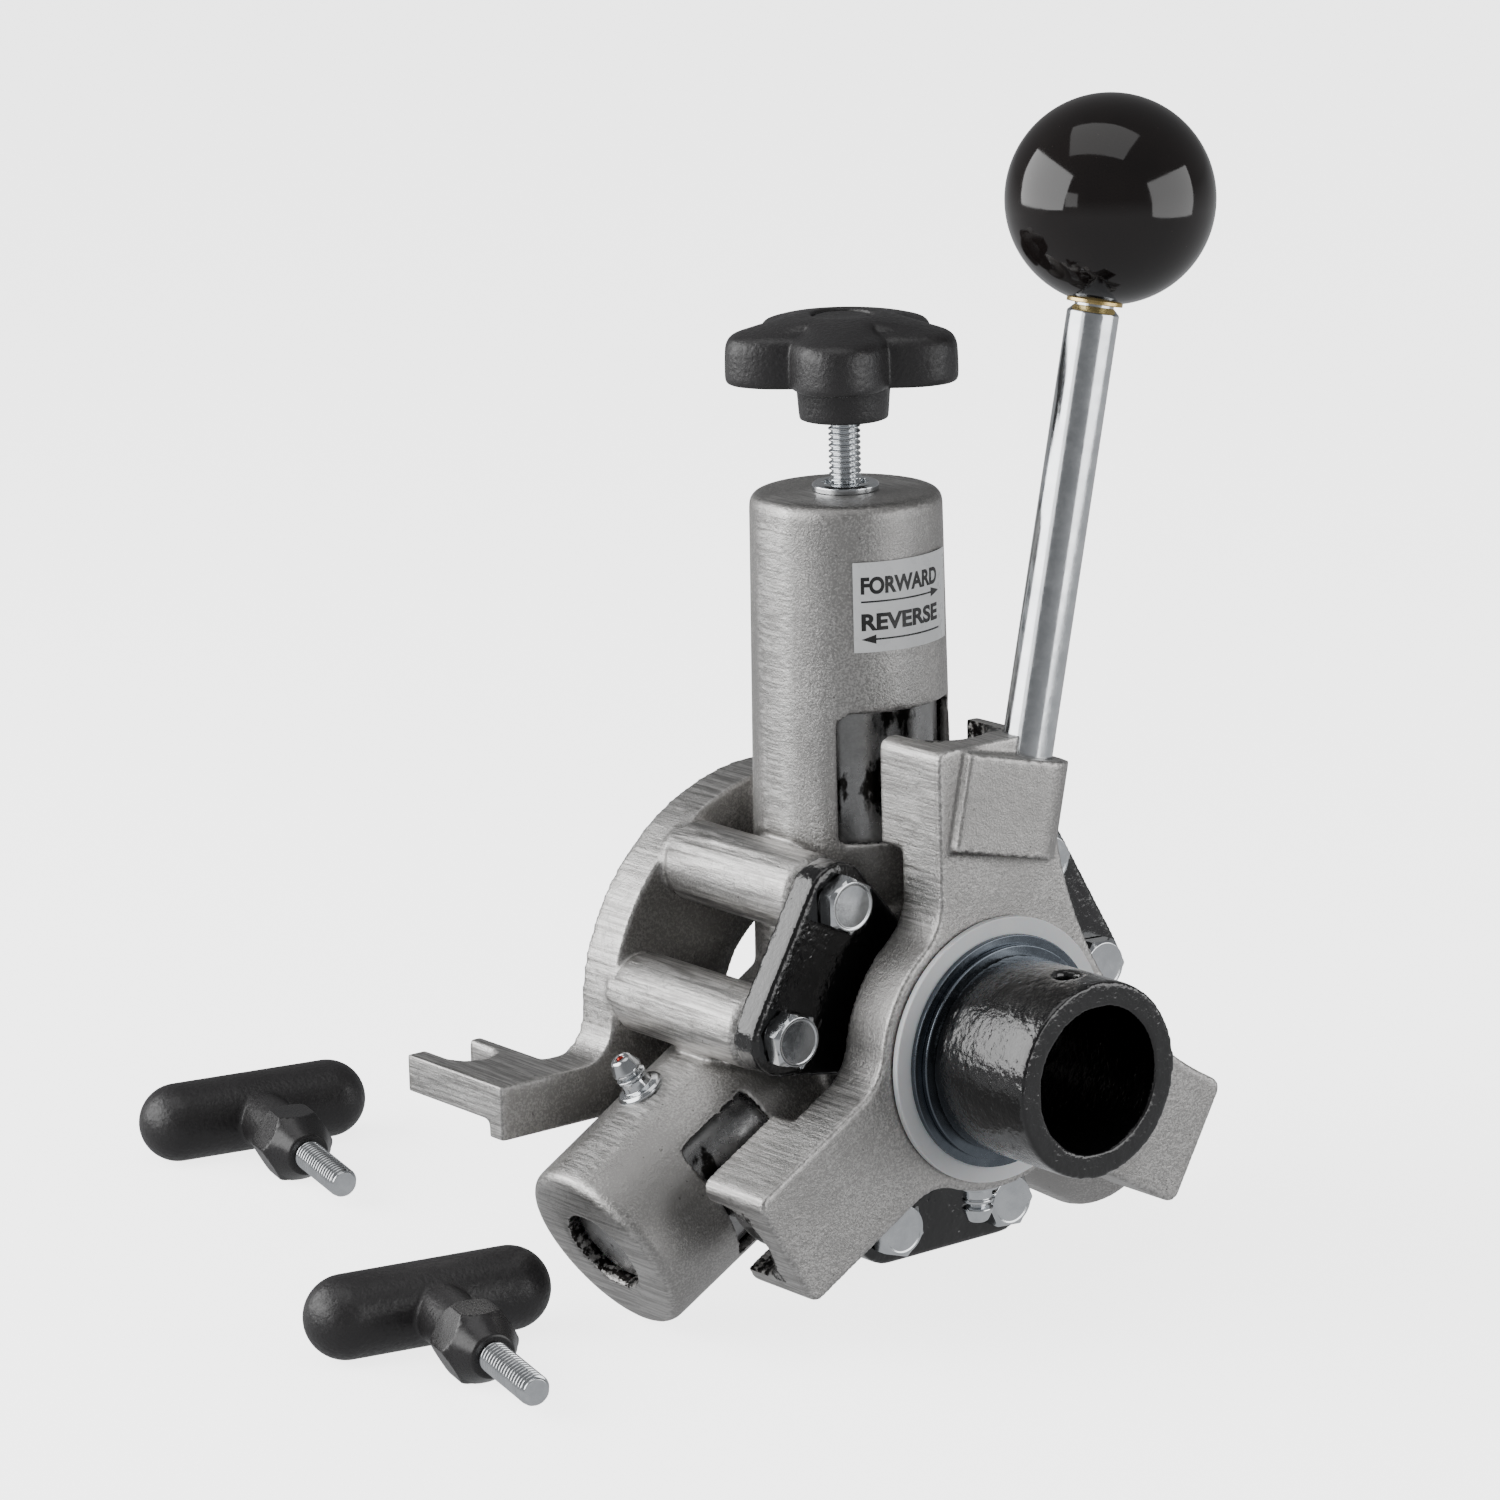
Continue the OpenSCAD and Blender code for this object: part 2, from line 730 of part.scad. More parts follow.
module tee_grip(place) {
    color([0.13, 0.12, 0.12]) at_tee(place) difference() {
        union() {
            rotate([90, 0, 0]) cylinder(h = tee_bar_span, r = tee_bar_d / 2, center = true);
            for (side = [-1, 1]) translate([0, side * tee_bar_span / 2, 0]) sphere(r = tee_bar_d / 2);
            rotate([0, 90, 0]) cylinder(h = collar_from, r = tee_stem_r);
        }
        translate([stud_core_from, 0, 0]) rotate([0, 90, 0]) cylinder(h = far, r = stud_core_r);
    }
}

// The hexagonal collar, with a cone towards the stud
module tee_collar(place) {
    corner_r = collar_af / sqrt(3);
    collar_len = collar_to - collar_from;
    color([0.16, 0.16, 0.16]) at_tee(place) translate([collar_from, 0, 0]) rotate([0, 90, 0]) difference() {
        rotate(30) intersection() {
            cylinder(h = collar_len, r = corner_r, $fn = 6);
            rotate_extrude() polygon([[0, 0], [corner_r - 0.6, 0], [corner_r - 0.1, 1.5],
                [corner_r - 0.1, collar_hex_len], [5.4, collar_len], [0, collar_len]]);
        }
        translate([0, 0, -1]) cylinder(h = far, r = stud_core_r);
    }
}

module tee_stud(place) {
    color("gainsboro") at_tee(place) rotate([0, 90, 0]) {
        translate([0, 0, stud_core_from]) cylinder(h = collar_to - stud_core_from + eps, r = stud_core_r);
        translate([0, 0, collar_to]) cylinder(h = tee_reach - collar_to - 1, r = screw_d / 2);
        translate([0, 0, tee_reach - 1]) cylinder(h = 1, r1 = screw_d / 2, r2 = screw_d / 2 - 0.9);
    }
}

housing();
nose();
nose_bolts();
feed_bushing();
barrel_grease_fittings();
direction_label();
thrust_washers();
nylon_washer();
steel_washer();
retaining_ring();
yoke();
yoke_bushing();
yoke_grease_fitting();
lever_rod();
ball_knob();
ball_insert();
star_knob();
knob_cap();
feed_screw();
spring_cap();
pressure_spring();
spring_seat();
holder_node(TOP_TURN, top_lug_r);  // top_holder
holder_node(LEFT_TURN, lug_r);  // left_holder
holder_node(RIGHT_TURN, lug_r);  // right_holder
axle_node(TOP_TURN);  // top_axle
axle_node(LEFT_TURN);  // left_axle
axle_node(RIGHT_TURN);  // right_axle
axle_pins_node(TOP_TURN);  // top_axle_pins
axle_pins_node(LEFT_TURN);  // left_axle_pins
axle_pins_node(RIGHT_TURN);  // right_axle_pins
roller_node(TOP_TURN);  // top_roller
roller_node(LEFT_TURN);  // left_roller
roller_node(RIGHT_TURN);  // right_roller
roller_bush_node(TOP_TURN);  // top_roller_bush
roller_bush_node(LEFT_TURN);  // left_roller_bush
roller_bush_node(RIGHT_TURN);  // right_roller_bush
tee_grip(REAR_TEE_AT);  // rear_tee_grip
tee_collar(REAR_TEE_AT);  // rear_tee_collar
tee_stud(REAR_TEE_AT);  // rear_tee_stud
tee_grip(FRONT_TEE_AT);  // front_tee_grip
tee_collar(FRONT_TEE_AT);  // front_tee_collar
tee_stud(FRONT_TEE_AT);  // front_tee_stud
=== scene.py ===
"""Visual model of a cable power feed, its feed lever and its two loose tee handles.

Row frame, in metres: +Y runs along the cable towards the machine, +Z runs up the adjusting
barrel, and the origin is the centre of the cable hole at the rear plate's back face.
"""

import logging
import math
from dataclasses import dataclass, field
from enum import Enum

import bmesh
import bpy
import numpy as np
from mathutils import Matrix, Vector


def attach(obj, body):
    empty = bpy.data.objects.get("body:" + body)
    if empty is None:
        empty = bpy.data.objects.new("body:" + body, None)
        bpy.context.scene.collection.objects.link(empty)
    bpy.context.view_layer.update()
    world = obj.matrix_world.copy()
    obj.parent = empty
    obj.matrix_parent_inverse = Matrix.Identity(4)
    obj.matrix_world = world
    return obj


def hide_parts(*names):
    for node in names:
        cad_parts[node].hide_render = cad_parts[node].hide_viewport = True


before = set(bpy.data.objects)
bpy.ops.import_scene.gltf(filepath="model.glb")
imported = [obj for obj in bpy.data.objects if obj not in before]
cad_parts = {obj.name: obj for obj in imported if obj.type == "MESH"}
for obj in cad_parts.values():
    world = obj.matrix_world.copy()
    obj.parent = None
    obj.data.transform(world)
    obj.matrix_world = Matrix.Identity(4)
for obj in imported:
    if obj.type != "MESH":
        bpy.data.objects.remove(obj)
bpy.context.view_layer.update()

LOG = logging.getLogger("power_feed")
MM = 0.001
FULL_TURN = 2 * math.pi
BARREL_PLANE = 38 * MM
TEE_DIP = math.radians(3)
TEE_AZIMUTH = math.radians(-102)
FLOOR_Z = -67.8 * MM
BOLT_CIRCLE_R = 49.5
BOLT_TURNS = [turn + side * 20.7 for turn in (60, 180, 300) for side in (-1, 1)]

Socket = bpy.types.NodeSocket
Piece = bpy.types.Object


class Barrel(Enum):
    """The three barrels, each by its turn from upright in degrees."""

    TOP = 0
    LEFT = -120
    RIGHT = 120


class Body(Enum):
    """The bodies of the frame that pieces ride on."""

    FRAME = "frame"
    LEVER = "yoke_lever"
    SPRING = "spring_pack"
    KNOB = "knob"
    REAR_TEE = "rear_tee"
    FRONT_TEE = "front_tee"


# ---- Places ----


def forward_from(distance: float) -> Matrix:
    """Place with local +Z pointing out of the nose, this far in front of the rear face."""
    return Matrix.Translation((0, -distance, 0)) @ Matrix.Rotation(math.pi / 2, 4, "X")


def on_barrel(barrel: Barrel) -> Matrix:
    """Place with local +Z running out along a barrel from the cable's axis."""
    turn = Matrix.Rotation(math.radians(barrel.value), 4, "Y")
    return Matrix.Translation((0, -BARREL_PLANE, 0)) @ turn


def along_z(height: float) -> Matrix:
    """Shift along local +Z."""
    return Matrix.Translation((0, 0, height))


# ---- Surfaces ----


@dataclass
class Patch:
    """Points and faces of a surface that is not yet a piece."""

    points: np.ndarray
    faces: list

    def placed(self, place: Matrix) -> "Patch":
        """The same surface, carried to a place."""
        turn = np.array(place.to_3x3())
        return Patch(self.points @ turn.T + np.array(place.translation), self.faces)

    def beside(self, other: "Patch") -> "Patch":
        """This surface and another one as a single patch."""
        shift = len(self.points)
        moved = [tuple(index + shift for index in face) for face in other.faces]
        return Patch(np.vstack([self.points, other.points]), self.faces + moved)

    def piece(self, name: str) -> Piece:
        """Put the surface into a new mesh object at the origin."""
        mesh = bpy.data.meshes.new(name)
        mesh.from_pydata(self.points.tolist(), [], self.faces)
        mesh.update()
        made = bpy.data.objects.new(name, mesh)
        bpy.context.scene.collection.objects.link(made)
        return made


def strips(low: np.ndarray, high: np.ndarray) -> np.ndarray:
    """Four-sided faces between neighbouring rows of point numbers.

    Args:
        low: point numbers of the lower rows, one row per line.
        high: point numbers of the rows after them.

    Returns:
        One face per line, turned so that it faces outwards.
    """
    corners = [low, np.roll(low, -1, 1), np.roll(high, -1, 1), high]
    return np.stack(corners, axis=-1).reshape(-1, 4)


def closed_surface(rows: np.ndarray) -> Patch:
    """Skin over rows of points that close around; the first and last row are poles.

    Args:
        rows: array of row, place around and coordinate.

    Returns:
        The closed surface, with fans at its two poles.
    """
    count, around = rows.shape[:2]
    inner = rows[1:-1].reshape(-1, 3)
    numbers = np.arange((count - 2) * around).reshape(-1, around)
    start, end = len(inner), len(inner) + 1
    first, last = numbers[0], numbers[-1]
    opening = np.stack([np.full(around, start), np.roll(first, -1), first], axis=-1)
    closing = np.stack([last, np.roll(last, -1), np.full(around, end)], axis=-1)
    walls = strips(numbers[:-1], numbers[1:])
    faces = opening.tolist() + walls.tolist() + closing.tolist()
    return Patch(np.vstack([inner, rows[0, :1], rows[-1, :1]]), faces)


def ring_surface(rows: np.ndarray) -> Patch:
    """Skin over rows of points that close both around and from the last row to the first."""
    count, around = rows.shape[:2]
    numbers = np.arange(count * around).reshape(-1, around)
    faces = strips(numbers, np.roll(numbers, -1, 0)).tolist()
    return Patch(rows.reshape(-1, 3), faces)


def spun(radius: np.ndarray, height: np.ndarray, around: int) -> np.ndarray:
    """Rows of a turned shape: x = r cos a, y = r sin a, z = h, for a full turn of a.

    Args:
        radius: one value per row, or one per row and place around.
        height: the same for the height.
        around: number of places around.

    Returns:
        Array of row, place around and coordinate.
    """
    angle = np.arange(around) * FULL_TURN / around
    radius, height = np.asarray(radius, float), np.asarray(height, float)
    radius = radius[:, None] if radius.ndim == 1 else radius
    height = height[:, None] if height.ndim == 1 else height
    radius, height, angle = np.broadcast_arrays(radius, height, angle[None, :])
    return np.stack([radius * np.cos(angle), radius * np.sin(angle), height], axis=-1)


def eased(outline: list, cut: float, ring: bool = False, steps: int = 5) -> np.ndarray:
    """Round the corners of an outline.

    Each corner becomes the curve corner + a (1 - s)^2 + b s^2, where a and b reach back
    and forward along the two sides by the cut.

    Args:
        outline: radius and height of each corner, in millimetres.
        cut: how far from the corner the curve starts, in millimetres.
        ring: whether the outline closes on itself.
        steps: points on each curve.

    Returns:
        Radius and height of each point, in metres.
    """
    points = np.array(outline, float)
    whole = np.vstack([points[-1:], points, points[:1]]) if ring else points
    corner = whole[1:-1]
    back, ahead = whole[:-2] - corner, whole[2:] - corner
    back_len = np.linalg.norm(back, axis=1, keepdims=True)
    ahead_len = np.linalg.norm(ahead, axis=1, keepdims=True)
    reach = np.minimum(cut, 0.45 * np.minimum(back_len, ahead_len))
    share = np.linspace(0, 1, steps)[None, :, None]
    toward_back = (back / back_len * reach)[:, None] * (1 - share) ** 2
    toward_ahead = (ahead / ahead_len * reach)[:, None] * share**2
    curve = (corner[:, None] + toward_back + toward_ahead).reshape(-1, 2)
    return (curve if ring else np.vstack([points[:1], curve, points[-1:]])) * MM


def turned(outline: list, cut: float, around: int = 96) -> Patch:
    """A solid turned shape from an outline that starts and ends on its axis."""
    profile = eased(outline, cut)
    return closed_surface(spun(profile[:, 0], profile[:, 1], around))


def turned_ring(outline: list, cut: float, around: int = 128) -> Patch:
    """A turned shape with a bore, from a closed outline."""
    profile = eased(outline, cut, ring=True)
    return ring_surface(spun(profile[:, 0], profile[:, 1], around))


def washer(inner: float, outer: float, thickness: float, cut: float = 0.3) -> Patch:
    """A flat ring standing on z = 0, sizes in millimetres."""
    outline = [(inner, 0), (outer, 0), (outer, thickness), (inner, thickness)]
    return turned_ring(outline, cut)


def hexed(outline: list, flats: float, cut: float, around: int = 120) -> Patch:
    """A turned shape trimmed to a hexagon: r = the smaller of the outline and the flats.

    Args:
        outline: radius and height of each corner, in millimetres.
        flats: width across the flats, in millimetres.
        cut: easing of the outline's corners, in millimetres.
        around: number of places around, a multiple of twelve.

    Returns:
        The closed surface.
    """
    profile = eased(outline, cut)
    angle = np.arange(around) * FULL_TURN / around
    sixth = FULL_TURN / 6
    hexagon = flats / 2 * MM / np.cos((angle + sixth / 2) % sixth - sixth / 2)
    radius = np.minimum(profile[:, :1], hexagon[None, :])
    return closed_surface(spun(radius, profile[:, 1], around))


def threaded(low: float, high: float, radius: float, tip: float = 0.9) -> Patch:
    """A rod with a 5/16-18 thread, sizes in millimetres.

    The radius falls from the crest by the depth times a three-cornered wave of
    z / pitch - angle / turn, held flat at its crests and roots, and the upper end is tapered.

    Args:
        low: where the rod starts along local Z.
        high: where it ends.
        radius: radius over the crests.
        tip: length of the taper at the upper end.

    Returns:
        The closed surface.
    """
    pitch, depth, around, per_pitch = 1.411, 0.72, 48, 12
    count = int((high - low) / pitch * per_pitch) + 1
    height = np.linspace(low, high, count)
    angle = np.arange(around) / around
    phase = (height[:, None] / pitch - angle[None, :]) % 1
    wave = np.clip((np.abs(phase - 0.5) * 2 - 0.14) / 0.66, 0, 1)
    taper = np.clip((height - (high - tip)) / tip, 0, 1)[:, None] * 0.95
    shape = np.minimum(radius - depth * (1 - wave), radius - taper) * MM
    ends = np.zeros((1, around))
    radii = np.vstack([ends, shape, ends])
    heights = np.concatenate([height[:1], height, height[-1:]]) * MM
    return closed_surface(spun(radii, heights, around))


def coil(radius: float, wire: float, low: float, high: float, turns: float) -> Patch:
    """A closed-ended coil spring, sizes in millimetres.

    The wire's middle line is a helix whose rise eases to flat in the first and last
    turns; each point is that line plus the wire's radius along its two side directions.
    """
    count, around = int(turns * 48), 16
    share = np.linspace(0, 1, count)
    rise = share - np.sin(FULL_TURN * share) / FULL_TURN * 0.6
    angle = share * turns * FULL_TURN
    outward = np.stack([np.cos(angle), np.sin(angle), np.zeros(count)], axis=-1)
    middle = outward * radius + np.array([0, 0, 1.0]) * (low + (high - low) * rise)[:, None]
    side = np.arange(around) * FULL_TURN / around
    spread = outward[:, None] * np.cos(side)[None, :, None]
    lift = np.array([0, 0, 1.0])[None, None] * np.sin(side)[None, :, None]
    rows = middle[:, None] + wire * (spread + lift)
    first = np.repeat(middle[None, :1], around, 1)
    last = np.repeat(middle[None, -1:], around, 1)
    patch = closed_surface(np.concatenate([first, rows, last]) * MM)
    return Patch(patch.points, [tuple(reversed(face)) for face in patch.faces])


# ---- Mesh helpers ----


def smooth_faces(piece: Piece) -> None:
    """Shade every face of a piece smoothly."""
    polygons = piece.data.polygons
    polygons.foreach_set("use_smooth", np.ones(len(polygons), bool))


def crisp(piece: Piece, bevel: float = 0.0, angle: float = 32) -> Piece:
    """Shade a piece smoothly but keep its true edges.

    Args:
        piece: the piece to finish.
        bevel: width of the small bevel on its edges in metres, or 0 for none.
        angle: the smallest angle in degrees that counts as an edge.

    Returns:
        The same piece.
    """
    smooth_faces(piece)
    if bevel:
        rounding = piece.modifiers.new("edge_rounding", "BEVEL")
        rounding.width = bevel
        rounding.segments = 2
        rounding.limit_method = "ANGLE"
        rounding.angle_limit = math.radians(angle)
    else:
        piece.data.set_sharp_from_angle(angle=math.radians(angle))
    even = piece.modifiers.new("even_shading", "WEIGHTED_NORMAL")
    even.keep_sharp = True
    return piece


def keep_attribute(piece: Piece, name: str, values: np.ndarray) -> None:
    """Store one number per point on a piece."""
    data = piece.data
    made = data.attributes.get(name) or data.attributes.new(name, "FLOAT", "POINT")
    made.data.foreach_set("value", np.asarray(values, np.float32))


def step_between(values: np.ndarray, low: float, high: float) -> np.ndarray:
    """Smooth step: 3 t^2 - 2 t^3, with t running from 0 at low to 1 at high."""
    share = np.clip((values - low) / (high - low), 0, 1)
    return share * share * (3 - 2 * share)


def points_of(piece: Piece) -> tuple:
    """The points and point normals of a piece as two arrays."""
    mesh = piece.data
    points = np.empty(len(mesh.vertices) * 3)
    mesh.vertices.foreach_get("co", points)
    normals = np.empty(len(mesh.vertices) * 3)
    mesh.vertices.foreach_get("normal", normals)
    return points.reshape(-1, 3), normals.reshape(-1, 3)


def hollowness(piece: Piece, passes: int = 6) -> np.ndarray:
    """How hollow (above 0) or ridged (below 0) the surface is at each point.

    It is the height of the neighbours' mean over the point along its normal, then
    averaged over the neighbours several times.
    """
    points, normals = points_of(piece)
    pairs = np.empty(len(piece.data.edges) * 2, np.int32)
    piece.data.edges.foreach_get("vertices", pairs)
    one, two = pairs.reshape(-1, 2).T
    both, across = np.concatenate([one, two]), np.concatenate([two, one])
    count = np.maximum(np.bincount(both, minlength=len(points)), 1)

    def mean_around(values: np.ndarray) -> np.ndarray:
        """Mean of the neighbours' values."""
        return np.bincount(both, values[across], len(points)) / count

    mean = np.stack([mean_around(points[:, axis]) for axis in range(3)], axis=-1)
    length = np.linalg.norm(points[one] - points[two], axis=1).mean()
    height = ((mean - points) * normals).sum(axis=1) / length
    for _ in range(passes):
        height = 0.5 * height + 0.5 * mean_around(height)
    return height


def reskinned(node: str, name: str, voxel: float, eases: int, limit: int) -> Piece:
    """A CAD node's copy with a fine, even skin and cast roundings on its edges.

    Args:
        node: the CAD node to copy.
        name: name of the new piece.
        voxel: size of the new skin's cells in millimetres.
        eases: how many times the skin is evened out.
        limit: most triangles the piece may have.

    Returns:
        The new piece, at the origin, with no live modifiers.
    """
    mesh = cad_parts[node].data.copy()
    mesh.materials.clear()
    work = bmesh.new()
    work.from_mesh(mesh)
    bmesh.ops.remove_doubles(work, verts=work.verts, dist=2e-6)
    work.to_mesh(mesh)
    work.free()
    piece = bpy.data.objects.new(name, mesh)
    bpy.context.scene.collection.objects.link(piece)
    skin = piece.modifiers.new("skin", "REMESH")
    skin.mode = "VOXEL"
    skin.voxel_size = voxel * MM
    ease = piece.modifiers.new("ease", "SMOOTH")
    ease.factor = 0.5
    ease.iterations = eases
    settle(piece)
    triangles = 2 * len(piece.data.polygons)
    if triangles > limit:
        thin = piece.modifiers.new("thin", "DECIMATE")
        thin.ratio = limit / triangles
        settle(piece)
    smooth_faces(piece)
    return piece


def settle(piece: Piece) -> None:
    """Apply a piece's modifiers to its mesh."""
    graph = bpy.context.evaluated_depsgraph_get()
    mesh = bpy.data.meshes.new_from_object(piece.evaluated_get(graph))
    piece.modifiers.clear()
    piece.data = mesh


# ---- Finishes ----


class Sheet:
    """Short words for laying out one material's nodes."""

    def __init__(self, name: str, roughness: float, metallic: float, coat: float = 0.0) -> None:
        """Start a material with one shader.

        Args:
            name: name of the material.
            roughness: roughness all over, unless a pattern is wired to it.
            metallic: metallic value all over.
            coat: weight of a clear coat.
        """
        self.material = bpy.data.materials.new(name)
        self.material.use_nodes = True
        self.tree = self.material.node_tree
        self.shader = self.tree.nodes["Principled BSDF"]
        self.shader.inputs["Roughness"].default_value = roughness
        self.shader.inputs["Metallic"].default_value = metallic
        self.shader.inputs["Coat Weight"].default_value = coat
        self.place = self.add("ShaderNodeTexCoord").outputs["Object"]
        self.relief = None

    def add(self, kind: str) -> bpy.types.Node:
        """Add a node."""
        return self.tree.nodes.new(kind)

    def join(self, source: Socket, target: Socket) -> None:
        """Wire two sockets."""
        self.tree.links.new(source, target)

    def stretched(self, scale: tuple) -> Socket:
        """Object coordinates, scaled by a different amount along each axis."""
        node = self.add("ShaderNodeMapping")
        node.inputs["Scale"].default_value = scale
        self.join(self.place, node.inputs["Vector"])
        return node.outputs["Vector"]

    def noise(
        self, size: float, detail: float = 4, rough: float = 0.55, along: tuple = (1, 1, 1)
    ) -> Socket:
        """Cloudy noise.

        Args:
            size: size of its patches in millimetres.
            detail: how many finer layers it has.
            rough: strength of the finer layers.
            along: scale along each axis, for grain that runs one way.

        Returns:
            The value, about 0.5 on average.
        """
        node = self.add("ShaderNodeTexNoise")
        node.inputs["Scale"].default_value = 1 / (size * MM)
        node.inputs["Detail"].default_value = detail
        node.inputs["Roughness"].default_value = rough
        self.join(self.stretched(along), node.inputs["Vector"])
        return node.outputs["Fac"]

    def cells(self, size: float) -> Socket:
        """Distance to the nearest of scattered points, for pits and beads."""
        node = self.add("ShaderNodeTexVoronoi")
        node.inputs["Scale"].default_value = 1 / (size * MM)
        self.join(self.place, node.inputs["Vector"])
        return node.outputs["Distance"]

    def attribute(self, name: str) -> Socket:
        """One of the piece's own numbers per point."""
        node = self.add("ShaderNodeAttribute")
        node.attribute_name = name
        return node.outputs["Fac"]

    def between(
        self, value: Socket, low: float, high: float, to_low: float = 0, to_high: float = 1
    ) -> Socket:
        """Carry a value from one range to another, and hold it there."""
        node = self.add("ShaderNodeMapRange")
        node.interpolation_type = "SMOOTHSTEP"
        ends = zip(("From Min", "From Max", "To Min", "To Max"), (low, high, to_low, to_high))
        for name, number in ends:
            node.inputs[name].default_value = number
        self.join(value, node.inputs["Value"])
        return node.outputs["Result"]

    def sum(self, kind: str, one: Socket, two: Socket) -> Socket:
        """Two values put together by a math node of this kind."""
        node = self.add("ShaderNodeMath")
        node.operation = kind
        self.join(one, node.inputs[0])
        self.join(two, node.inputs[1])
        return node.outputs[0]

    def blend(self, share: Socket, one: object, two: object) -> Socket:
        """Mix two colours; each is a grey or colour tuple, or a socket."""
        node = self.add("ShaderNodeMix")
        node.data_type = "RGBA"
        self.join(share, node.inputs["Factor"])
        for socket, value in zip((node.inputs[6], node.inputs[7]), (one, two)):
            if isinstance(value, tuple):
                socket.default_value = (*value, 1)
            else:
                self.join(value, socket)
        return node.outputs[2]

    def mixed(self, share: Socket, one: Socket, two: Socket) -> Socket:
        """Mix two values."""
        node = self.add("ShaderNodeMix")
        node.data_type = "FLOAT"
        self.join(share, node.inputs["Factor"])
        self.join(one, node.inputs[2])
        self.join(two, node.inputs[3])
        return node.outputs[0]

    def colour(self, socket: Socket) -> None:
        """Wire the colour."""
        self.join(socket, self.shader.inputs["Base Color"])

    def rough(self, socket: Socket) -> None:
        """Wire the roughness."""
        self.join(socket, self.shader.inputs["Roughness"])

    def raise_by(self, height: Socket, depth: float) -> None:
        """Add relief on top of what is there.

        Args:
            height: a value from 0 to 1.
            depth: height of the relief in millimetres at 1.
        """
        node = self.add("ShaderNodeBump")
        node.inputs["Strength"].default_value = 1
        node.inputs["Distance"].default_value = depth * MM
        self.join(height, node.inputs["Height"])
        if self.relief is not None:
            self.join(self.relief, node.inputs["Normal"])
        self.relief = node.outputs["Normal"]
        for name in ("Normal", "Coat Normal"):
            self.join(self.relief, self.shader.inputs[name])


@dataclass(frozen=True)
class Finish:
    """A finish and the record's slot that it stands for."""

    slot: str

    @property
    def is_print(self) -> bool:
        """Whether this is a second finish within the same slot."""
        return False

    def lay(self) -> bpy.types.Material:
        """Lay out the material."""
        raise NotImplementedError

    def material(self) -> bpy.types.Material:
        """The finish's material, laid out once."""
        name = f"{type(self).__name__}_{self.slot}" + ("_print" if self.is_print else "")
        return bpy.data.materials.get(name) or self.named(name)

    def named(self, name: str) -> bpy.types.Material:
        """Lay out the material and name it."""
        made = self.lay()
        made.name = name
        return made


@dataclass(frozen=True)
class CastAluminium(Finish):
    """Blasted sand casting with belt-sanded strips and smears of black grease."""

    slot: str = "cast_aluminium"
    dark: tuple = (0.33, 0.322, 0.314)
    light: tuple = (0.50, 0.49, 0.478)
    bare: tuple = (0.66, 0.65, 0.635)
    grease: tuple = (0.018, 0.016, 0.015)

    def lay(self) -> bpy.types.Material:
        """Grain, clouds, sanded strips, grease and painted shade in the hollows over one metal."""
        sheet = Sheet(self.slot, 0.5, 1.0)
        grain = sheet.noise(0.55, 3, 0.6)
        clouds = sheet.noise(22, 3, 0.5)
        shade = sheet.sum("MULTIPLY", sheet.between(grain, 0.3, 0.72), clouds)
        skin = sheet.blend(sheet.between(shade, 0.12, 0.5), self.dark, self.light)
        lines = sheet.noise(0.75, 4, 0.75, (1, 0.035, 1))
        worn = sheet.between(sheet.noise(3.5, 4, 0.6), 0.22, 0.5)
        ridges = sheet.between(sheet.attribute("hollow"), -0.02, -0.10)
        patch = sheet.sum("MULTIPLY", sheet.attribute("sanded"), worn)
        sanded = sheet.sum("MAXIMUM", patch, sheet.sum("MULTIPLY", ridges, worn))
        bright = sheet.blend(sheet.between(lines, 0.38, 0.62), self.dark, self.bare)
        skin = sheet.blend(sanded, skin, bright)
        # Painted shade: the colour darkens towards (0.12, 0.115, 0.11) in hollows and concave corners, where
        # shade falls.
        corners = sheet.between(sheet.attribute("hollow"), 0.015, 0.16, 0, 0.55)
        skin = sheet.blend(corners, skin, (0.12, 0.115, 0.11))
        specks = sheet.between(sheet.noise(1.6, 2, 0.6), 0.69, 0.76, 0, 0.6)
        skin = sheet.blend(specks, skin, (0.09, 0.085, 0.08))
        smear = sheet.noise(2.6, 5, 0.65)
        smeared = sheet.sum("ADD", sheet.attribute("grease"), smear)
        black = sheet.between(smeared, 1.04, 1.14)
        sheet.colour(sheet.blend(black, skin, self.grease))
        matte = sheet.between(grain, 0.2, 0.8, 0.36, 0.56)
        silky = sheet.between(lines, 0.3, 0.7, 0.34, 0.46)
        wet = sheet.between(smear, 0, 1, 0.20, 0.34)
        roughness = sheet.mixed(sanded, matte, silky)
        sheet.rough(sheet.mixed(black, roughness, wet))
        sheet.raise_by(clouds, 0.35)
        sheet.raise_by(sheet.noise(2.0, 3, 0.6), 0.12)
        sheet.raise_by(grain, 0.13)
        sheet.raise_by(sheet.sum("MULTIPLY", lines, sanded), 0.11)
        return sheet.material


@dataclass(frozen=True)
class BlackPaint(Finish):
    """Thick gloss black paint over a rough casting."""

    slot: str = "black_paint"

    def lay(self) -> bpy.types.Material:
        """Orange peel, pits and dust on gloss black."""
        sheet = Sheet(self.slot, 0.16, 0.0, 0.6)
        sheet.shader.inputs["Coat Roughness"].default_value = 0.06
        dust = sheet.between(sheet.noise(0.8, 3, 0.7), 0.66, 0.80, 0, 0.5)
        cloud = sheet.blend(sheet.noise(12), (0.0025, 0.0025, 0.0025), (0.007, 0.007, 0.0075))
        thin = sheet.between(sheet.attribute("hollow"), -0.06, -0.25, 0, 0.4)
        skin = sheet.blend(thin, cloud, (0.055, 0.052, 0.05))
        sheet.colour(sheet.blend(dust, skin, (0.045, 0.044, 0.043)))
        sheet.rough(sheet.between(sheet.noise(5), 0.2, 0.8, 0.10, 0.24))
        sheet.raise_by(sheet.noise(4.2, 2, 0.5), 0.30)
        sheet.raise_by(sheet.noise(1.5, 3, 0.6), 0.16)
        pits = sheet.between(sheet.cells(2.3), 0.05, 0.30)
        sheet.raise_by(pits, 0.05)
        return sheet.material


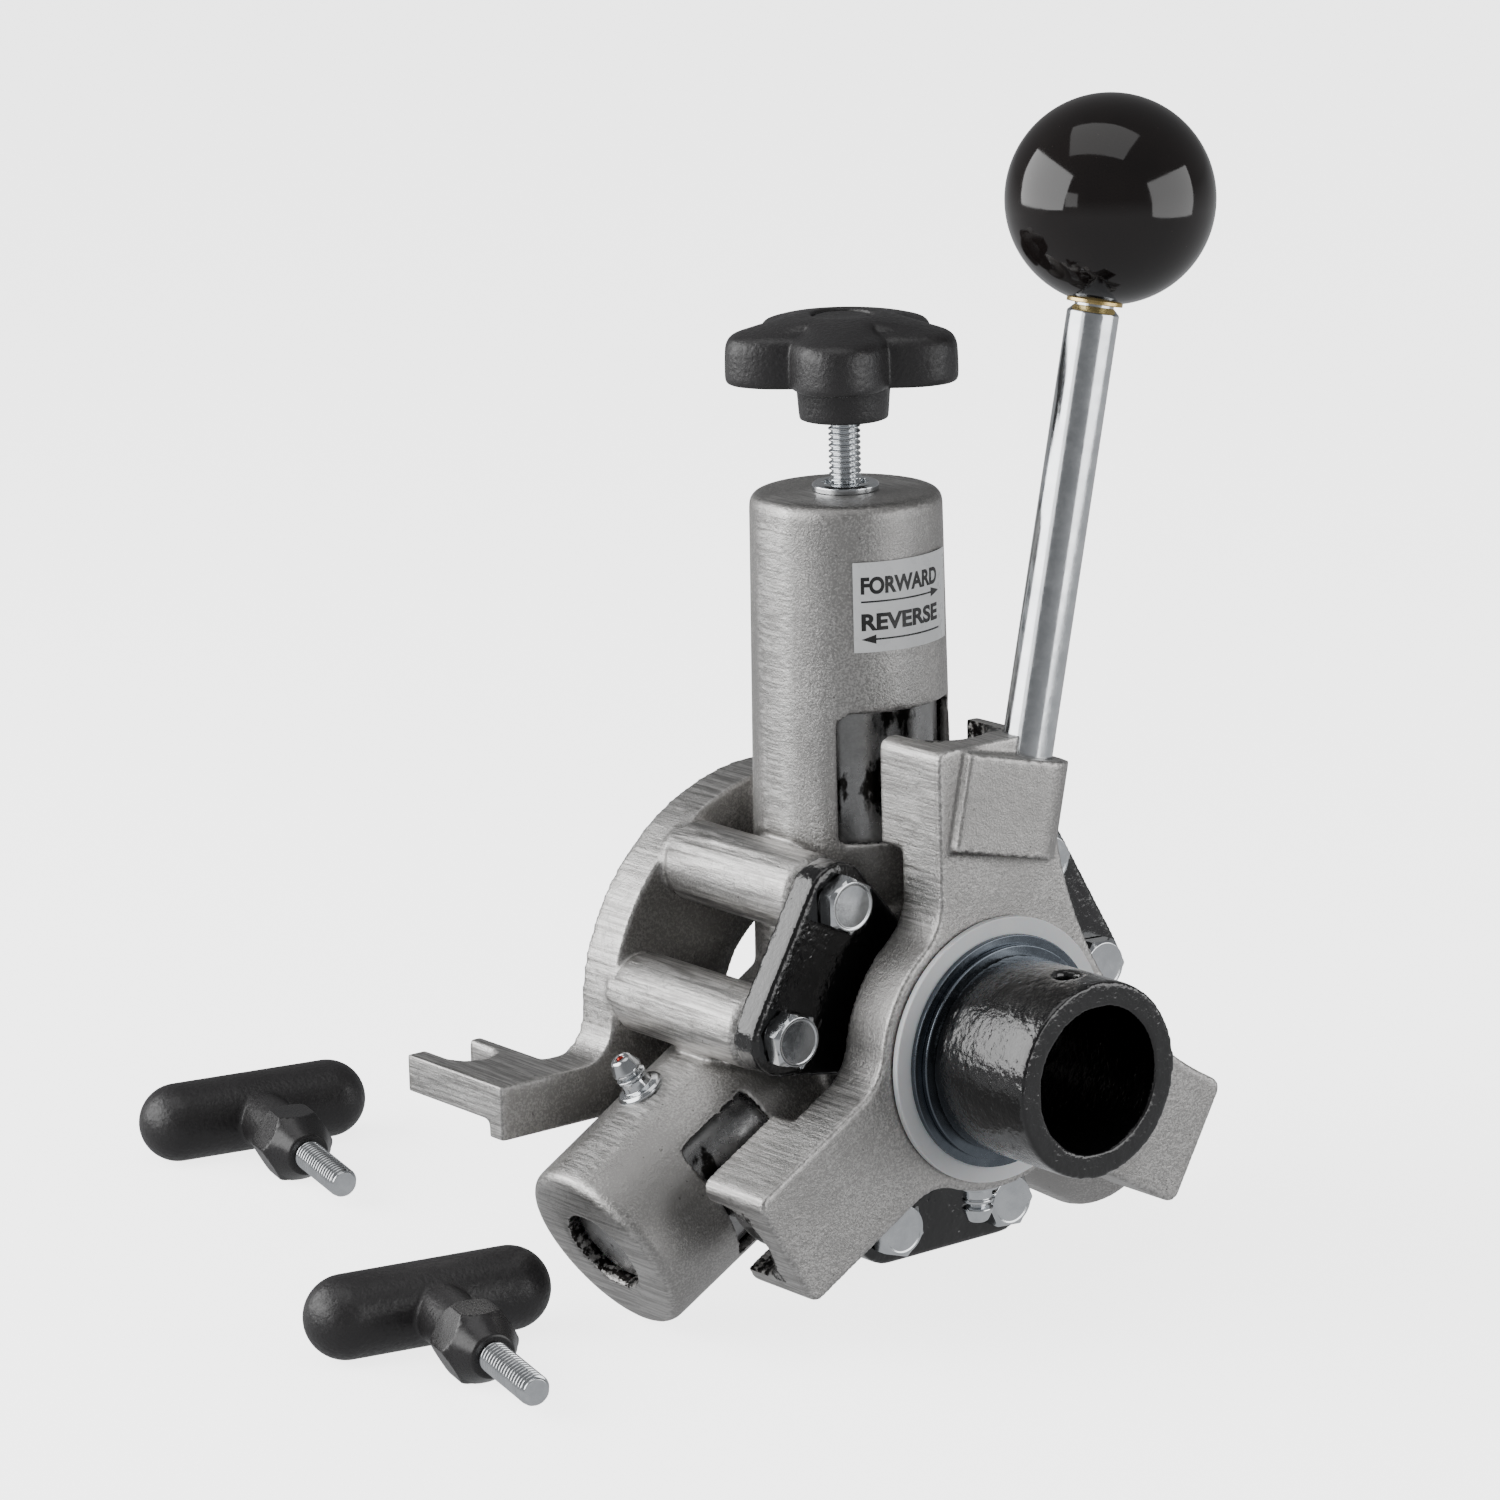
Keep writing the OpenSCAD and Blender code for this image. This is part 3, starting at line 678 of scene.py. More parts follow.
@dataclass(frozen=True)
class PlainMetal(Finish):
    """A smooth metal with a slight cloud, scratches and dulled spots."""

    slot: str = "zinc_bright"
    dark: tuple = (0.60, 0.62, 0.64)
    light: tuple = (0.74, 0.76, 0.78)
    shine: tuple = (0.11, 0.21)
    cloud: float = 6
    scratch: float = 0.003
    metallic: float = 1.0

    def lay(self) -> bpy.types.Material:
        """Clouds, fine scratches and small dull spots."""
        sheet = Sheet(self.slot, 0.25, self.metallic)
        clouds = sheet.noise(self.cloud, 5, 0.6)
        skin = sheet.blend(sheet.between(clouds, 0.3, 0.7), self.dark, self.light)
        spots = sheet.between(sheet.noise(0.9, 3, 0.6), 0.68, 0.78, 0, 0.3)
        skin = sheet.blend(spots, skin, tuple(0.55 * part for part in self.dark))
        red = sheet.between(sheet.attribute("dot"), 0.4, 0.6)
        sheet.colour(sheet.blend(red, skin, (0.22, 0.02, 0.015)))
        sheet.rough(sheet.between(sheet.noise(1.8, 4, 0.65), 0.3, 0.7, *self.shine))
        sheet.raise_by(sheet.noise(2.0, 4, 0.6), self.scratch * 2)
        sheet.raise_by(sheet.noise(0.35, 2, 0.6, (1, 1, 0.15)), self.scratch)
        return sheet.material


@dataclass(frozen=True)
class GreasedSteel(Finish):
    """Machined steel with clots and smears of black grease."""

    slot: str = "greased_steel"

    def lay(self) -> bpy.types.Material:
        """Tool marks under patches of grease."""
        sheet = Sheet(self.slot, 0.3, 0.8)
        marks = sheet.noise(0.5, 3, 0.6, (0.2, 1, 1))
        steel = sheet.blend(marks, (0.30, 0.30, 0.30), (0.48, 0.48, 0.48))
        smear = sheet.noise(9, 5, 0.6, (1, 1, 0.5))
        film = sheet.blend(sheet.noise(5, 4, 0.6), (0.45, 0.45, 0.45), (1, 1, 1))
        shade = sheet.add("ShaderNodeMix")
        shade.data_type, shade.blend_type = "RGBA", "MULTIPLY"
        shade.inputs["Factor"].default_value = 1
        sheet.join(steel, shade.inputs[6])
        sheet.join(film, shade.inputs[7])
        black = sheet.between(smear, 0.58, 0.64)
        sheet.colour(sheet.blend(black, shade.outputs[2], (0.012, 0.011, 0.010)))
        sheet.rough(sheet.between(smear, 0.4, 0.62, 0.38, 0.18))
        sheet.raise_by(smear, 0.12)
        sheet.raise_by(marks, 0.02)
        return sheet.material


@dataclass(frozen=True)
class WhiteNylon(Finish):
    """Milky washer plastic with turning marks."""

    slot: str = "white_nylon"

    def lay(self) -> bpy.types.Material:
        """Faint clouds and soft relief."""
        sheet = Sheet(self.slot, 0.4, 0.0)
        sheet.shader.inputs["Subsurface Weight"].default_value = 0.15
        sheet.shader.inputs["Subsurface Scale"].default_value = 0.002
        cloud = sheet.noise(9, 4)
        sheet.colour(sheet.blend(cloud, (0.66, 0.68, 0.70), (0.80, 0.81, 0.82)))
        sheet.rough(sheet.between(cloud, 0.2, 0.8, 0.34, 0.48))
        sheet.raise_by(sheet.noise(0.8, 3), 0.02)
        return sheet.material


@dataclass(frozen=True)
class GlossBall(Finish):
    """Polished black phenolic with specks of dust."""

    slot: str = "gloss_black"

    def lay(self) -> bpy.types.Material:
        """Near black with faint swirls."""
        sheet = Sheet(self.slot, 0.07, 0.0)
        specks = sheet.between(sheet.noise(0.7, 2, 0.6), 0.74, 0.80, 0, 0.6)
        skin = sheet.blend(sheet.noise(14), (0.006, 0.005, 0.005), (0.014, 0.010, 0.009))
        sheet.colour(sheet.blend(specks, skin, (0.09, 0.075, 0.065)))
        sheet.rough(sheet.between(sheet.noise(7, 5, 0.6), 0.3, 0.7, 0.05, 0.10))
        sheet.raise_by(sheet.noise(9, 2), 0.05)
        sheet.raise_by(sheet.noise(0.8, 2), 0.002)
        return sheet.material


@dataclass(frozen=True)
class MouldedNylon(Finish):
    """Black moulded plastic; the grain comes from a spark-eroded mould."""

    slot: str = "black_nylon"
    grain: float = 1.2
    depth: float = 0.16
    shine: tuple = (0.34, 0.50)

    def lay(self) -> bpy.types.Material:
        """Leathery grain on soft black."""
        sheet = Sheet(self.slot, 0.42, 0.0)
        grain = sheet.noise(self.grain, 3, 0.6)
        cloud = sheet.noise(16, 3)
        skin = sheet.blend(cloud, (0.016, 0.015, 0.016), (0.030, 0.0285, 0.029))
        dust = sheet.between(sheet.noise(0.6, 2), 0.68, 0.8, 0, 0.4)
        sheet.colour(sheet.blend(dust, skin, (0.05, 0.048, 0.046)))
        sheet.rough(sheet.between(grain, 0.3, 0.7, *self.shine))
        sheet.raise_by(cloud, 0.25)
        sheet.raise_by(grain, self.depth)
        sheet.raise_by(sheet.cells(self.grain * 0.9), self.depth * 0.35)
        return sheet.material


@dataclass(frozen=True)
class LabelFilm(Finish):
    """Glossy white sticker film."""

    slot: str = "label_film"
    ink: bool = False

    @property
    def is_print(self) -> bool:
        """The print has its own material beside the film's."""
        return self.ink

    def lay(self) -> bpy.types.Material:
        """Film or ink, with faint dust and ripples."""
        sheet = Sheet(self.slot, 0.3, 0.0)
        tones = ((0.010, 0.010, 0.010), (0.022, 0.022, 0.022))
        if not self.ink:
            tones = ((0.70, 0.71, 0.71), (0.80, 0.81, 0.82))
        sheet.colour(sheet.blend(sheet.noise(5, 4, 0.6), *tones))
        sheet.rough(sheet.between(sheet.noise(2.5, 4), 0.3, 0.7, 0.24, 0.40))
        sheet.raise_by(sheet.noise(3.5, 3), 0.05)
        return sheet.material


ZINC = PlainMetal()
HARDENED = PlainMetal("hardened_steel", (0.30, 0.30, 0.30), (0.52, 0.52, 0.51), (0.20, 0.40))
BLUED = PlainMetal("blued_steel", (0.10, 0.115, 0.135), (0.15, 0.17, 0.195), (0.20, 0.30), 14, 0.001)
BRONZE = PlainMetal("bronze", (0.34, 0.20, 0.09), (0.52, 0.34, 0.17), (0.25, 0.45))
BRASS = PlainMetal("brass", (0.52, 0.38, 0.14), (0.70, 0.53, 0.24), (0.18, 0.35))
COLLAR = MouldedNylon("black_collar", 0.7, 0.012, (0.24, 0.36))
INK = LabelFilm(ink=True)


def seat(piece: Piece, body: str, finish: Finish, *nodes: str) -> Piece:
    """Give a piece its finish and slot, let it ride its body and stand for its CAD nodes.

    Args:
        piece: the finished piece.
        body: name of the body that it moves with.
        finish: its finish.
        nodes: the CAD nodes that it replaces.

    Returns:
        The same piece.
    """
    piece.data.materials.clear()
    piece.data.materials.append(finish.material())
    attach(piece, body)
    if nodes:
        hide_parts(*nodes)
    LOG.info("%s on %s: %d faces", piece.name, body, len(piece.data.polygons))
    return piece


# ---- Castings ----


@dataclass
class Casting:
    """A cast part made from its CAD node's copy. Sizes are in millimetres."""

    node: str
    name: str
    body: str
    finish: Finish
    voxel: float = 0.85
    eases: int = 5
    limit: int = 190000

    def wear(self, points: np.ndarray, normals: np.ndarray) -> tuple:
        """How sanded and how greasy each point is, both from 0 to 1."""
        return np.zeros(len(points)), np.zeros(len(points))

    def shape(self, piece: Piece) -> None:
        """Change the skin before it is dressed; a plain casting keeps its shape."""

    def build(self) -> Piece:
        """Make, mark and dress the casting."""
        piece = reskinned(self.node, self.name, self.voxel, self.eases, self.limit)
        self.shape(piece)
        points, normals = points_of(piece)
        sanded, grease = self.wear(points / MM, normals)
        keep_attribute(piece, "sanded", sanded)
        keep_attribute(piece, "grease", grease)
        keep_attribute(piece, "hollow", hollowness(piece))
        return seat(piece, self.body, self.finish, self.node)


def on_axis(points: np.ndarray, barrel: Barrel) -> tuple:
    """Points in a barrel's own frame: across it, forward of its plane and along it."""
    turn = math.radians(barrel.value)
    across = points[:, 0] * math.cos(turn) - points[:, 2] * math.sin(turn)
    along = points[:, 0] * math.sin(turn) + points[:, 2] * math.cos(turn)
    return across, points[:, 1] + BARREL_PLANE / MM, along


@dataclass
class Housing(Casting):
    """The main casting: rear plate, ears and three barrels."""

    rim_r: float = 57.6
    ear_x: float = 91.8
    strip: float = 8.0
    boss_growth: float = 1.1

    def shape(self, piece: Piece) -> None:
        """Grind the plate's rim unevenly, by sums of sines round the rim, and fill out the bosses."""
        points, normals = points_of(piece)
        across, along = points[:, 0] / MM, points[:, 2] / MM
        radius = np.hypot(across, along)
        angle = np.arctan2(along, across)
        rim = step_between(radius, self.rim_r - 1.2, self.rim_r - 0.4)
        rim *= step_between(along, -12, 0) * step_between(points[:, 1] / MM, -14.5, -11)
        wave = np.sin(17 * angle) + np.sin(41 * angle + 1.3) + 0.8 * np.sin(97 * angle + 4.1)
        wave += 0.6 * np.sin(143 * angle + 2)
        depth = (0.16 + 0.04 * wave) * MM
        out = np.stack([across / radius, np.zeros_like(radius), along / radius], axis=-1)
        moved = points - out * (rim * depth)[:, None] + self.thicker_bosses(points / MM) * MM
        piece.data.vertices.foreach_set("co", moved.ravel())
        piece.data.update()

    def thicker_bosses(self, points: np.ndarray) -> np.ndarray:
        """How far to push each point away from the nearest bolt's axis, to fill out its boss."""
        push = np.zeros_like(points)
        length = step_between(points[:, 1], -62.6, -61.2) * step_between(-points[:, 1], 13.4, 16)
        for turn in BOLT_TURNS:
            angle = math.radians(turn)
            across = points[:, 0] - BOLT_CIRCLE_R * math.sin(angle)
            along = points[:, 2] - BOLT_CIRCLE_R * math.cos(angle)
            away = np.hypot(across, along)
            share = length * step_between(away, 6.5, 8.6) * (1 - step_between(away, 9.8, 13))
            push[:, 0] += self.boss_growth * share * across / away
            push[:, 2] += self.boss_growth * share * along / away
        return push

    def wear(self, points: np.ndarray, normals: np.ndarray) -> tuple:
        """Sanded rim, ear ends and parting strips; greasy bores and windows."""
        level = 1 - step_between(np.abs(normals[:, 1]), 0.3, 0.5)
        parting = 1 - step_between(np.abs(points[:, 1] + 38), self.strip - 3, self.strip)
        behind = step_between(points[:, 1], -14, -12.5)
        radius = np.hypot(points[:, 0], points[:, 2])
        rim = step_between(radius, self.rim_r - 2, self.rim_r - 1) * behind
        ears = step_between(np.abs(points[:, 0]), self.ear_x - 2.5, self.ear_x - 1.5)
        ends = np.zeros(len(points))
        grease = np.zeros(len(points))
        for barrel in Barrel:
            across, forward, along = on_axis(points, barrel)
            out = np.hypot(across, forward)
            facing = (across * on_axis_normal(normals, barrel) + forward * normals[:, 1]) / out
            bore = (1 - step_between(facing, -0.6, -0.3)) * step_between(along, 42, 47)
            sides = (np.abs(facing) < 0.5) & (along > 46) & (along < 81) & (forward < -8)
            wall = sides * step_between(out, 20.0, 20.6) * (1 - step_between(out, 24.2, 24.8))
            grease = np.maximum(grease, np.maximum(bore * (out < 22.5), wall))
            if barrel is not Barrel.TOP:
                flat = step_between(along, 92.3, 93.2) * step_between(out, 10, 12)
                ends = np.maximum(ends, flat)
        sanded = level * np.maximum.reduce([parting * 0.9, rim, ears])
        return np.maximum(sanded, ends * 0.8), 0.62 * grease


def on_axis_normal(normals: np.ndarray, barrel: Barrel) -> np.ndarray:
    """The part of each normal that points across a barrel."""
    turn = math.radians(barrel.value)
    return normals[:, 0] * math.cos(turn) - normals[:, 2] * math.sin(turn)


@dataclass
class Yoke(Casting):
    """The three-armed yoke with the lever's boss."""

    hub_r: float = 35.7

    def wear(self, points: np.ndarray, normals: np.ndarray) -> tuple:
        """Sanded arm sides and ends; greasy slots behind the arms."""
        radius = np.hypot(points[:, 0], points[:, 2])
        level = 1 - step_between(np.abs(normals[:, 1]), 0.25, 0.5)
        back = step_between(points[:, 1], -90.5, -89.5)
        sides = level * back * step_between(radius, self.hub_r - 1, self.hub_r + 3)
        grease = np.zeros(len(points))
        for barrel in Barrel:
            across, _, along = on_axis(points, barrel)
            facing = on_axis_normal(normals, barrel) * across
            slot = (1 - step_between(np.abs(across), 11.2, 12)) * step_between(along, 48, 51)
            slot *= step_between(points[:, 1], -86, -83)
            grease = np.maximum(grease, slot * (facing < 3))
        return sides * 0.9, 0.6 * grease


@dataclass
class Nose(Casting):
    """The painted nose: flange with six bolt lobes and the tube in front of it."""


# ---- Small turned and threaded parts ----


@dataclass
class FlangeBolts:
    """Six hexagon bolts in the nose's flange. Sizes are in millimetres."""

    flats: float = 12.7
    flange_front: float = 71.0
    spins: list = field(default_factory=lambda: [12, 47, 5, 33, 52, 21])

    def bolt(self) -> Patch:
        """One bolt: shank, washer face, flats and a 30-degree chamfer."""
        half = self.flats / 2
        corner = half / math.cos(math.pi / 6)
        outline = [
            (0, -31), (3.4, -31), (3.97, -30), (3.97, 0), (half * 0.94, 0), (half * 0.94, 0.6),
            (corner + 0.02, 0.62), (corner + 0.02, 4.35), (half * 0.94, 5.2), (half * 0.86, 5.15),
            (half * 0.82, 5.02), (0, 5.02),
        ]
        return hexed(outline, self.flats, 0.14)

    def build(self) -> Piece:
        """All six bolts as one piece."""
        whole = None
        for turn, spin in zip(BOLT_TURNS, self.spins):
            place = Matrix.Rotation(math.radians(turn), 4, "Y") @ along_z(BOLT_CIRCLE_R * MM)
            face = place @ forward_from(self.flange_front * MM)
            one = self.bolt().placed(face @ Matrix.Rotation(math.radians(spin), 4, "Z"))
            whole = one if whole is None else whole.beside(one)
        piece = crisp(whole.piece("flange_bolts"), angle=24)
        return seat(piece, Body.FRAME.value, ZINC, "nose_bolts")


@dataclass
class NoseRings:
    """Nylon washer, steel washer and retaining ring on the nose. Millimetres."""

    bore: float = 24.45
    nylon: tuple = (33.0, 1.8, 91.8)
    steel: tuple = (28.8, 1.5, 93.6)
    ring: tuple = (26.6, 1.6, 95.1)
    groove_r: float = 23.0

    def build(self) -> None:
        """Make the three rings."""
        parts = (
            ("nylon_ring", self.nylon, self.bore, WhiteNylon(), "nylon_washer", 0.35),
            ("steel_ring", self.steel, self.bore - 0.1, BLUED, "steel_washer", 0.3),
            ("lock_ring", self.ring, self.groove_r + 0.05, BLUED, "retaining_ring", 0.4),
        )
        for name, (outer, thickness, behind), bore, finish, node, cut in parts:
            patch = washer(bore, outer - 0.02, thickness, cut)
            piece = patch.placed(forward_from(behind * MM)).piece(name)
            seat(crisp(piece), Body.FRAME.value, finish, node)


@dataclass
class GreaseFittings:
    """Grease fittings on the barrels and under the yoke's hub. Millimetres."""

    outline: list = field(default_factory=lambda: [
        (0, -2), (2.5, -2), (2.5, -0.02), (6.1, 0), (6.15, 0.8), (5.5, 1.5), (3.9, 1.9),
        (3.6, 3.1), (3.5, 4.2), (3.9, 4.5), (3.9, 5.2), (2.6, 5.6), (2.5, 6.0),
        (3.9, 6.7), (3.95, 7.2), (2.7, 9.9), (2.2, 10.35), (1.35, 10.45), (1.2, 9.9), (0, 9.9),
    ])
    ball_r: float = 1.05

    def fitting(self) -> tuple:
        """One fitting with the ball in its mouth, and a mark on the ball's points."""
        body = turned(self.outline, 0.22, 40)
        sweep = np.linspace(0, math.pi, 12)
        rows = spun(self.ball_r * MM * np.sin(sweep), MM * (9.75 - self.ball_r * np.cos(sweep)), 24)
        ball = closed_surface(rows)
        mark = np.concatenate([np.zeros(len(body.points)), np.ones(len(ball.points))])
        return body.beside(ball), mark

    def gather(self, places: list, name: str, body: Body, node: str) -> Piece:
        """Fittings at several places as one piece."""
        fitting, mark = self.fitting()
        whole = fitting.placed(places[0])
        for place in places[1:]:
            whole = whole.beside(fitting.placed(place))
        piece = crisp(whole.piece(name), angle=40)
        keep_attribute(piece, "dot", np.tile(mark, len(places)))
        return seat(piece, body.value, ZINC, node)

    def build(self) -> None:
        """The three barrel fittings and the yoke's."""
        base = (25.2 - 0.0115 * 61 - 0.6) * MM
        places = []
        for barrel, tilt, lean in ((Barrel.LEFT, 90, 10), (Barrel.RIGHT, -90, -10), (Barrel.TOP, 90, 60)):
            turn = Matrix.Rotation(math.radians(lean), 4, "Z") @ Matrix.Rotation(math.radians(tilt), 4, "Y")
            places.append(on_barrel(barrel) @ along_z(61 * MM) @ turn @ along_z(base))
        self.gather(places, "barrel_fittings", Body.FRAME, "barrel_grease_fittings")
        under = Matrix.Rotation(math.pi, 4, "Y") @ Matrix.Translation((0, -83.5 * MM, 35.3 * MM))
        self.gather([under], "yoke_fitting", Body.LEVER, "yoke_grease_fitting")


@dataclass
class Lever:
    """The lever: plated rod, black ball and the brass insert in it. Millimetres."""

    plane: float = 88.2
    shift: float = -1.7
    lean: float = 12.4
    rod_r: float = 6.35
    low: float = 55.3
    top: float = 181.2
    ball_at: float = 207.2
    ball_r: float = 25.4
    insert_r: float = 6.8

    def place(self) -> Matrix:
        """Local +Z runs up the rod from the cable's axis."""
        lean = Matrix.Rotation(math.radians(self.lean), 4, "Y")
        return Matrix.Translation((self.shift * MM, -self.plane * MM, 0)) @ lean

    def ball(self) -> Patch:
        """A ball with a bore: a half circle that starts at the bore's edge."""
        bore = self.insert_r + 0.05
        start = math.asin(bore / self.ball_r)
        sweep = np.linspace(start, math.pi, 72)
        radius = np.concatenate([[0, bore], self.ball_r * np.sin(sweep)])
        radius[-1] = 0
        height = np.concatenate([[self.top + 17, self.top + 17], self.ball_at - self.ball_r * np.cos(sweep)])
        return closed_surface(spun(radius * MM, height * MM, 144))

    def build(self) -> None:
        """Make the lever's three pieces."""
        rod = [(0, self.low), (self.rod_r, self.low), (self.rod_r, self.top - 1.5),
               (self.rod_r - 1.5, self.top), (4.76, self.top), (4.76, self.top + 16), (0, self.top + 16)]
        piece = turned(rod, 0.25).placed(self.place()).piece("feed_lever_rod")
        seat(crisp(piece), Body.LEVER.value, ZINC, "lever_rod")
        piece = self.ball().placed(self.place()).piece("lever_ball")
        seat(crisp(piece, angle=50), Body.LEVER.value, GlossBall(), "ball_knob")
        low, high = self.top + 0.6, self.top + 16.6
        ring = [(4.8, low), (self.insert_r, low), (self.insert_r, high), (4.8, high)]
        piece = turned_ring(ring, 0.25, 96).placed(self.place()).piece("ball_thread_insert")
        seat(crisp(piece), Body.LEVER.value, BRASS, "ball_insert")


@dataclass
class FeedScrew:
    """Star knob, cap, screw, bushing, spring and spring plates. Millimetres."""

    lobes: int = 5
    phase: float = 12.0
    peak_r: float = 29.4
    valley_r: float = 20.6
    hub_r: float = 11.0
    base: float = 148.3
    lobe_low: float = 158.2
    lobe_high: float = 170.8
    top: float = 174.2
    screw_r: float = 3.97

    def knob(self) -> Patch:
        """The star knob: a round hub that opens into five lobes.

        The outline's radius is the valley's plus the lobes' reach times the cosine of
        two and a half turns, squared and flattened; each row mixes the hub's circle with
        that outline and then draws it in for the rounded rims.
        """
        around = 240
        angle = np.arange(around) * FULL_TURN / around - math.radians(self.phase)
        swell = np.cos(angle * self.lobes / 2) ** 2
        outline = self.valley_r + (self.peak_r - self.valley_r) * swell**0.62
        low, high, top, hub = self.lobe_low, self.lobe_high, self.top, self.hub_r
        rows = np.array([
            (0, self.base, 0, 0), (hub - 0.7, self.base, 0, 0), (hub - 0.2, self.base + 0.2, 0, 0),
            (hub, self.base + 0.8, 0, 0), (hub + 0.4, low - 2.6, 0, 0), (hub + 0.7, low - 1.4, 0, 0),
            (hub + 1.5, low - 0.5, 0, 0), (hub + 3.2, low - 0.05, 0, 0), (hub, low, 0.55, 0.4),
            (hub, low, 0.90, 0.5), (hub, low + 0.15, 1, 0.9), (hub, low + 0.6, 1, 0.35),
            (hub, low + 1.4, 1, 0.05), (hub, low + 3, 1, 0), (hub, high - 4.4, 1, 0.1),
            (hub, high - 2.8, 1, 0.35), (hub, high - 1.5, 1, 0.95), (hub, high - 0.6, 1, 1.9),
            (hub, high - 0.05, 1, 3.2), (hub, high + 0.5, 1, 5.2), (hub, high + 1.1, 0.85, 5.6),
            (hub, high + 1.9, 0.5, 3.4), (hub + 1.4, high + 2.7, 0.12, 0), (hub + 0.2, top - 0.25, 0, 0),
            (hub - 1.2, top - 0.05, 0, 0), (8.4, top, 0, 0), (7.8, top - 0.1, 0, 0),
            (7.5, top - 0.6, 0, 0), (7.5, top - 2.3, 0, 0), (0, top - 2.3, 0, 0),
        ])
        circle, height, share, inset = (rows[:, column, None] for column in range(4))
        radius = circle * (1 - share) + (outline[None, :] - inset) * share
        radius[0] = radius[-1] = 0
        return closed_surface(spun(radius * MM, height[:, 0] * MM, around))

    def bushing(self) -> Patch:
        """The screw's bushing, with twelve teeth round the recess in its flange."""
        profile = eased([
            (4.02, 121), (6.4, 121), (6.4, 130.72), (8.28, 130.72), (8.28, 132.1), (7.6, 132.68),
            (5.7, 132.68), (5.6, 131.4), (4.02, 131.3),
        ], 0.25, ring=True)
        around = 144
        angle = np.arange(around) * FULL_TURN / around
        teeth = step_between(np.sin(12 * angle), -0.2, 0.2)[None, :]
        radius, height = profile[:, :1] / MM, profile[:, 1:] / MM
        wall = ((radius > 5.3) & (radius < 5.9) & (height > 131.2)).astype(float)
        return ring_surface(spun((radius - 0.75 * wall * teeth) * MM, profile[:, 1], around))

    def build(self) -> None:
        """Make the screw group."""
        axis = Matrix.Translation((0, -BARREL_PLANE, 0))
        knob = self.knob().placed(axis).piece("star_knob_grip")
        even = knob.modifiers.new("even_surface", "SUBSURF")
        even.levels = even.render_levels = 1
        smooth_faces(knob)
        seat(knob, Body.KNOB.value, MouldedNylon(), "star_knob")
        low = self.top - 2.4
        cap = [(0, low), (7.35, low), (7.35, low + 1.5), (6.2, low + 1.9), (0, low + 1.7)]
        piece = turned(cap, 0.4).placed(axis).piece("knob_top_cap")
        seat(crisp(piece), Body.KNOB.value, MouldedNylon(), "knob_cap")
        piece = threaded(106.6, 166.7, self.screw_r).placed(axis).piece("feed_screw_thread")
        seat(crisp(piece, angle=60), Body.KNOB.value, ZINC, "feed_screw")
        piece = self.bushing().placed(axis).piece("screw_bushing")
        seat(crisp(piece), Body.FRAME.value, ZINC, "feed_bushing")
        piece = coil(12.8, 1.85, 94.4, 102.0, 2.5).placed(axis).piece("roller_spring")
        smooth_faces(piece)
        seat(piece, Body.SPRING.value, BLUED, "pressure_spring")
        plate = [(4.02, 110.5), (4.02, 106.5), (0, 106.5)]
        cap = [(0, 104), (16, 104), (16, 110.5)] + plate
        piece = turned(cap, 0.4).placed(axis).piece("upper_spring_plate")
        seat(crisp(piece), Body.SPRING.value, GreasedSteel(), "spring_cap")
        piece = washer(11.1, 16, 3, 0.4).placed(axis @ along_z(89.4 * MM)).piece("lower_spring_plate")
        seat(crisp(piece), Body.SPRING.value, GreasedSteel(), "spring_seat")


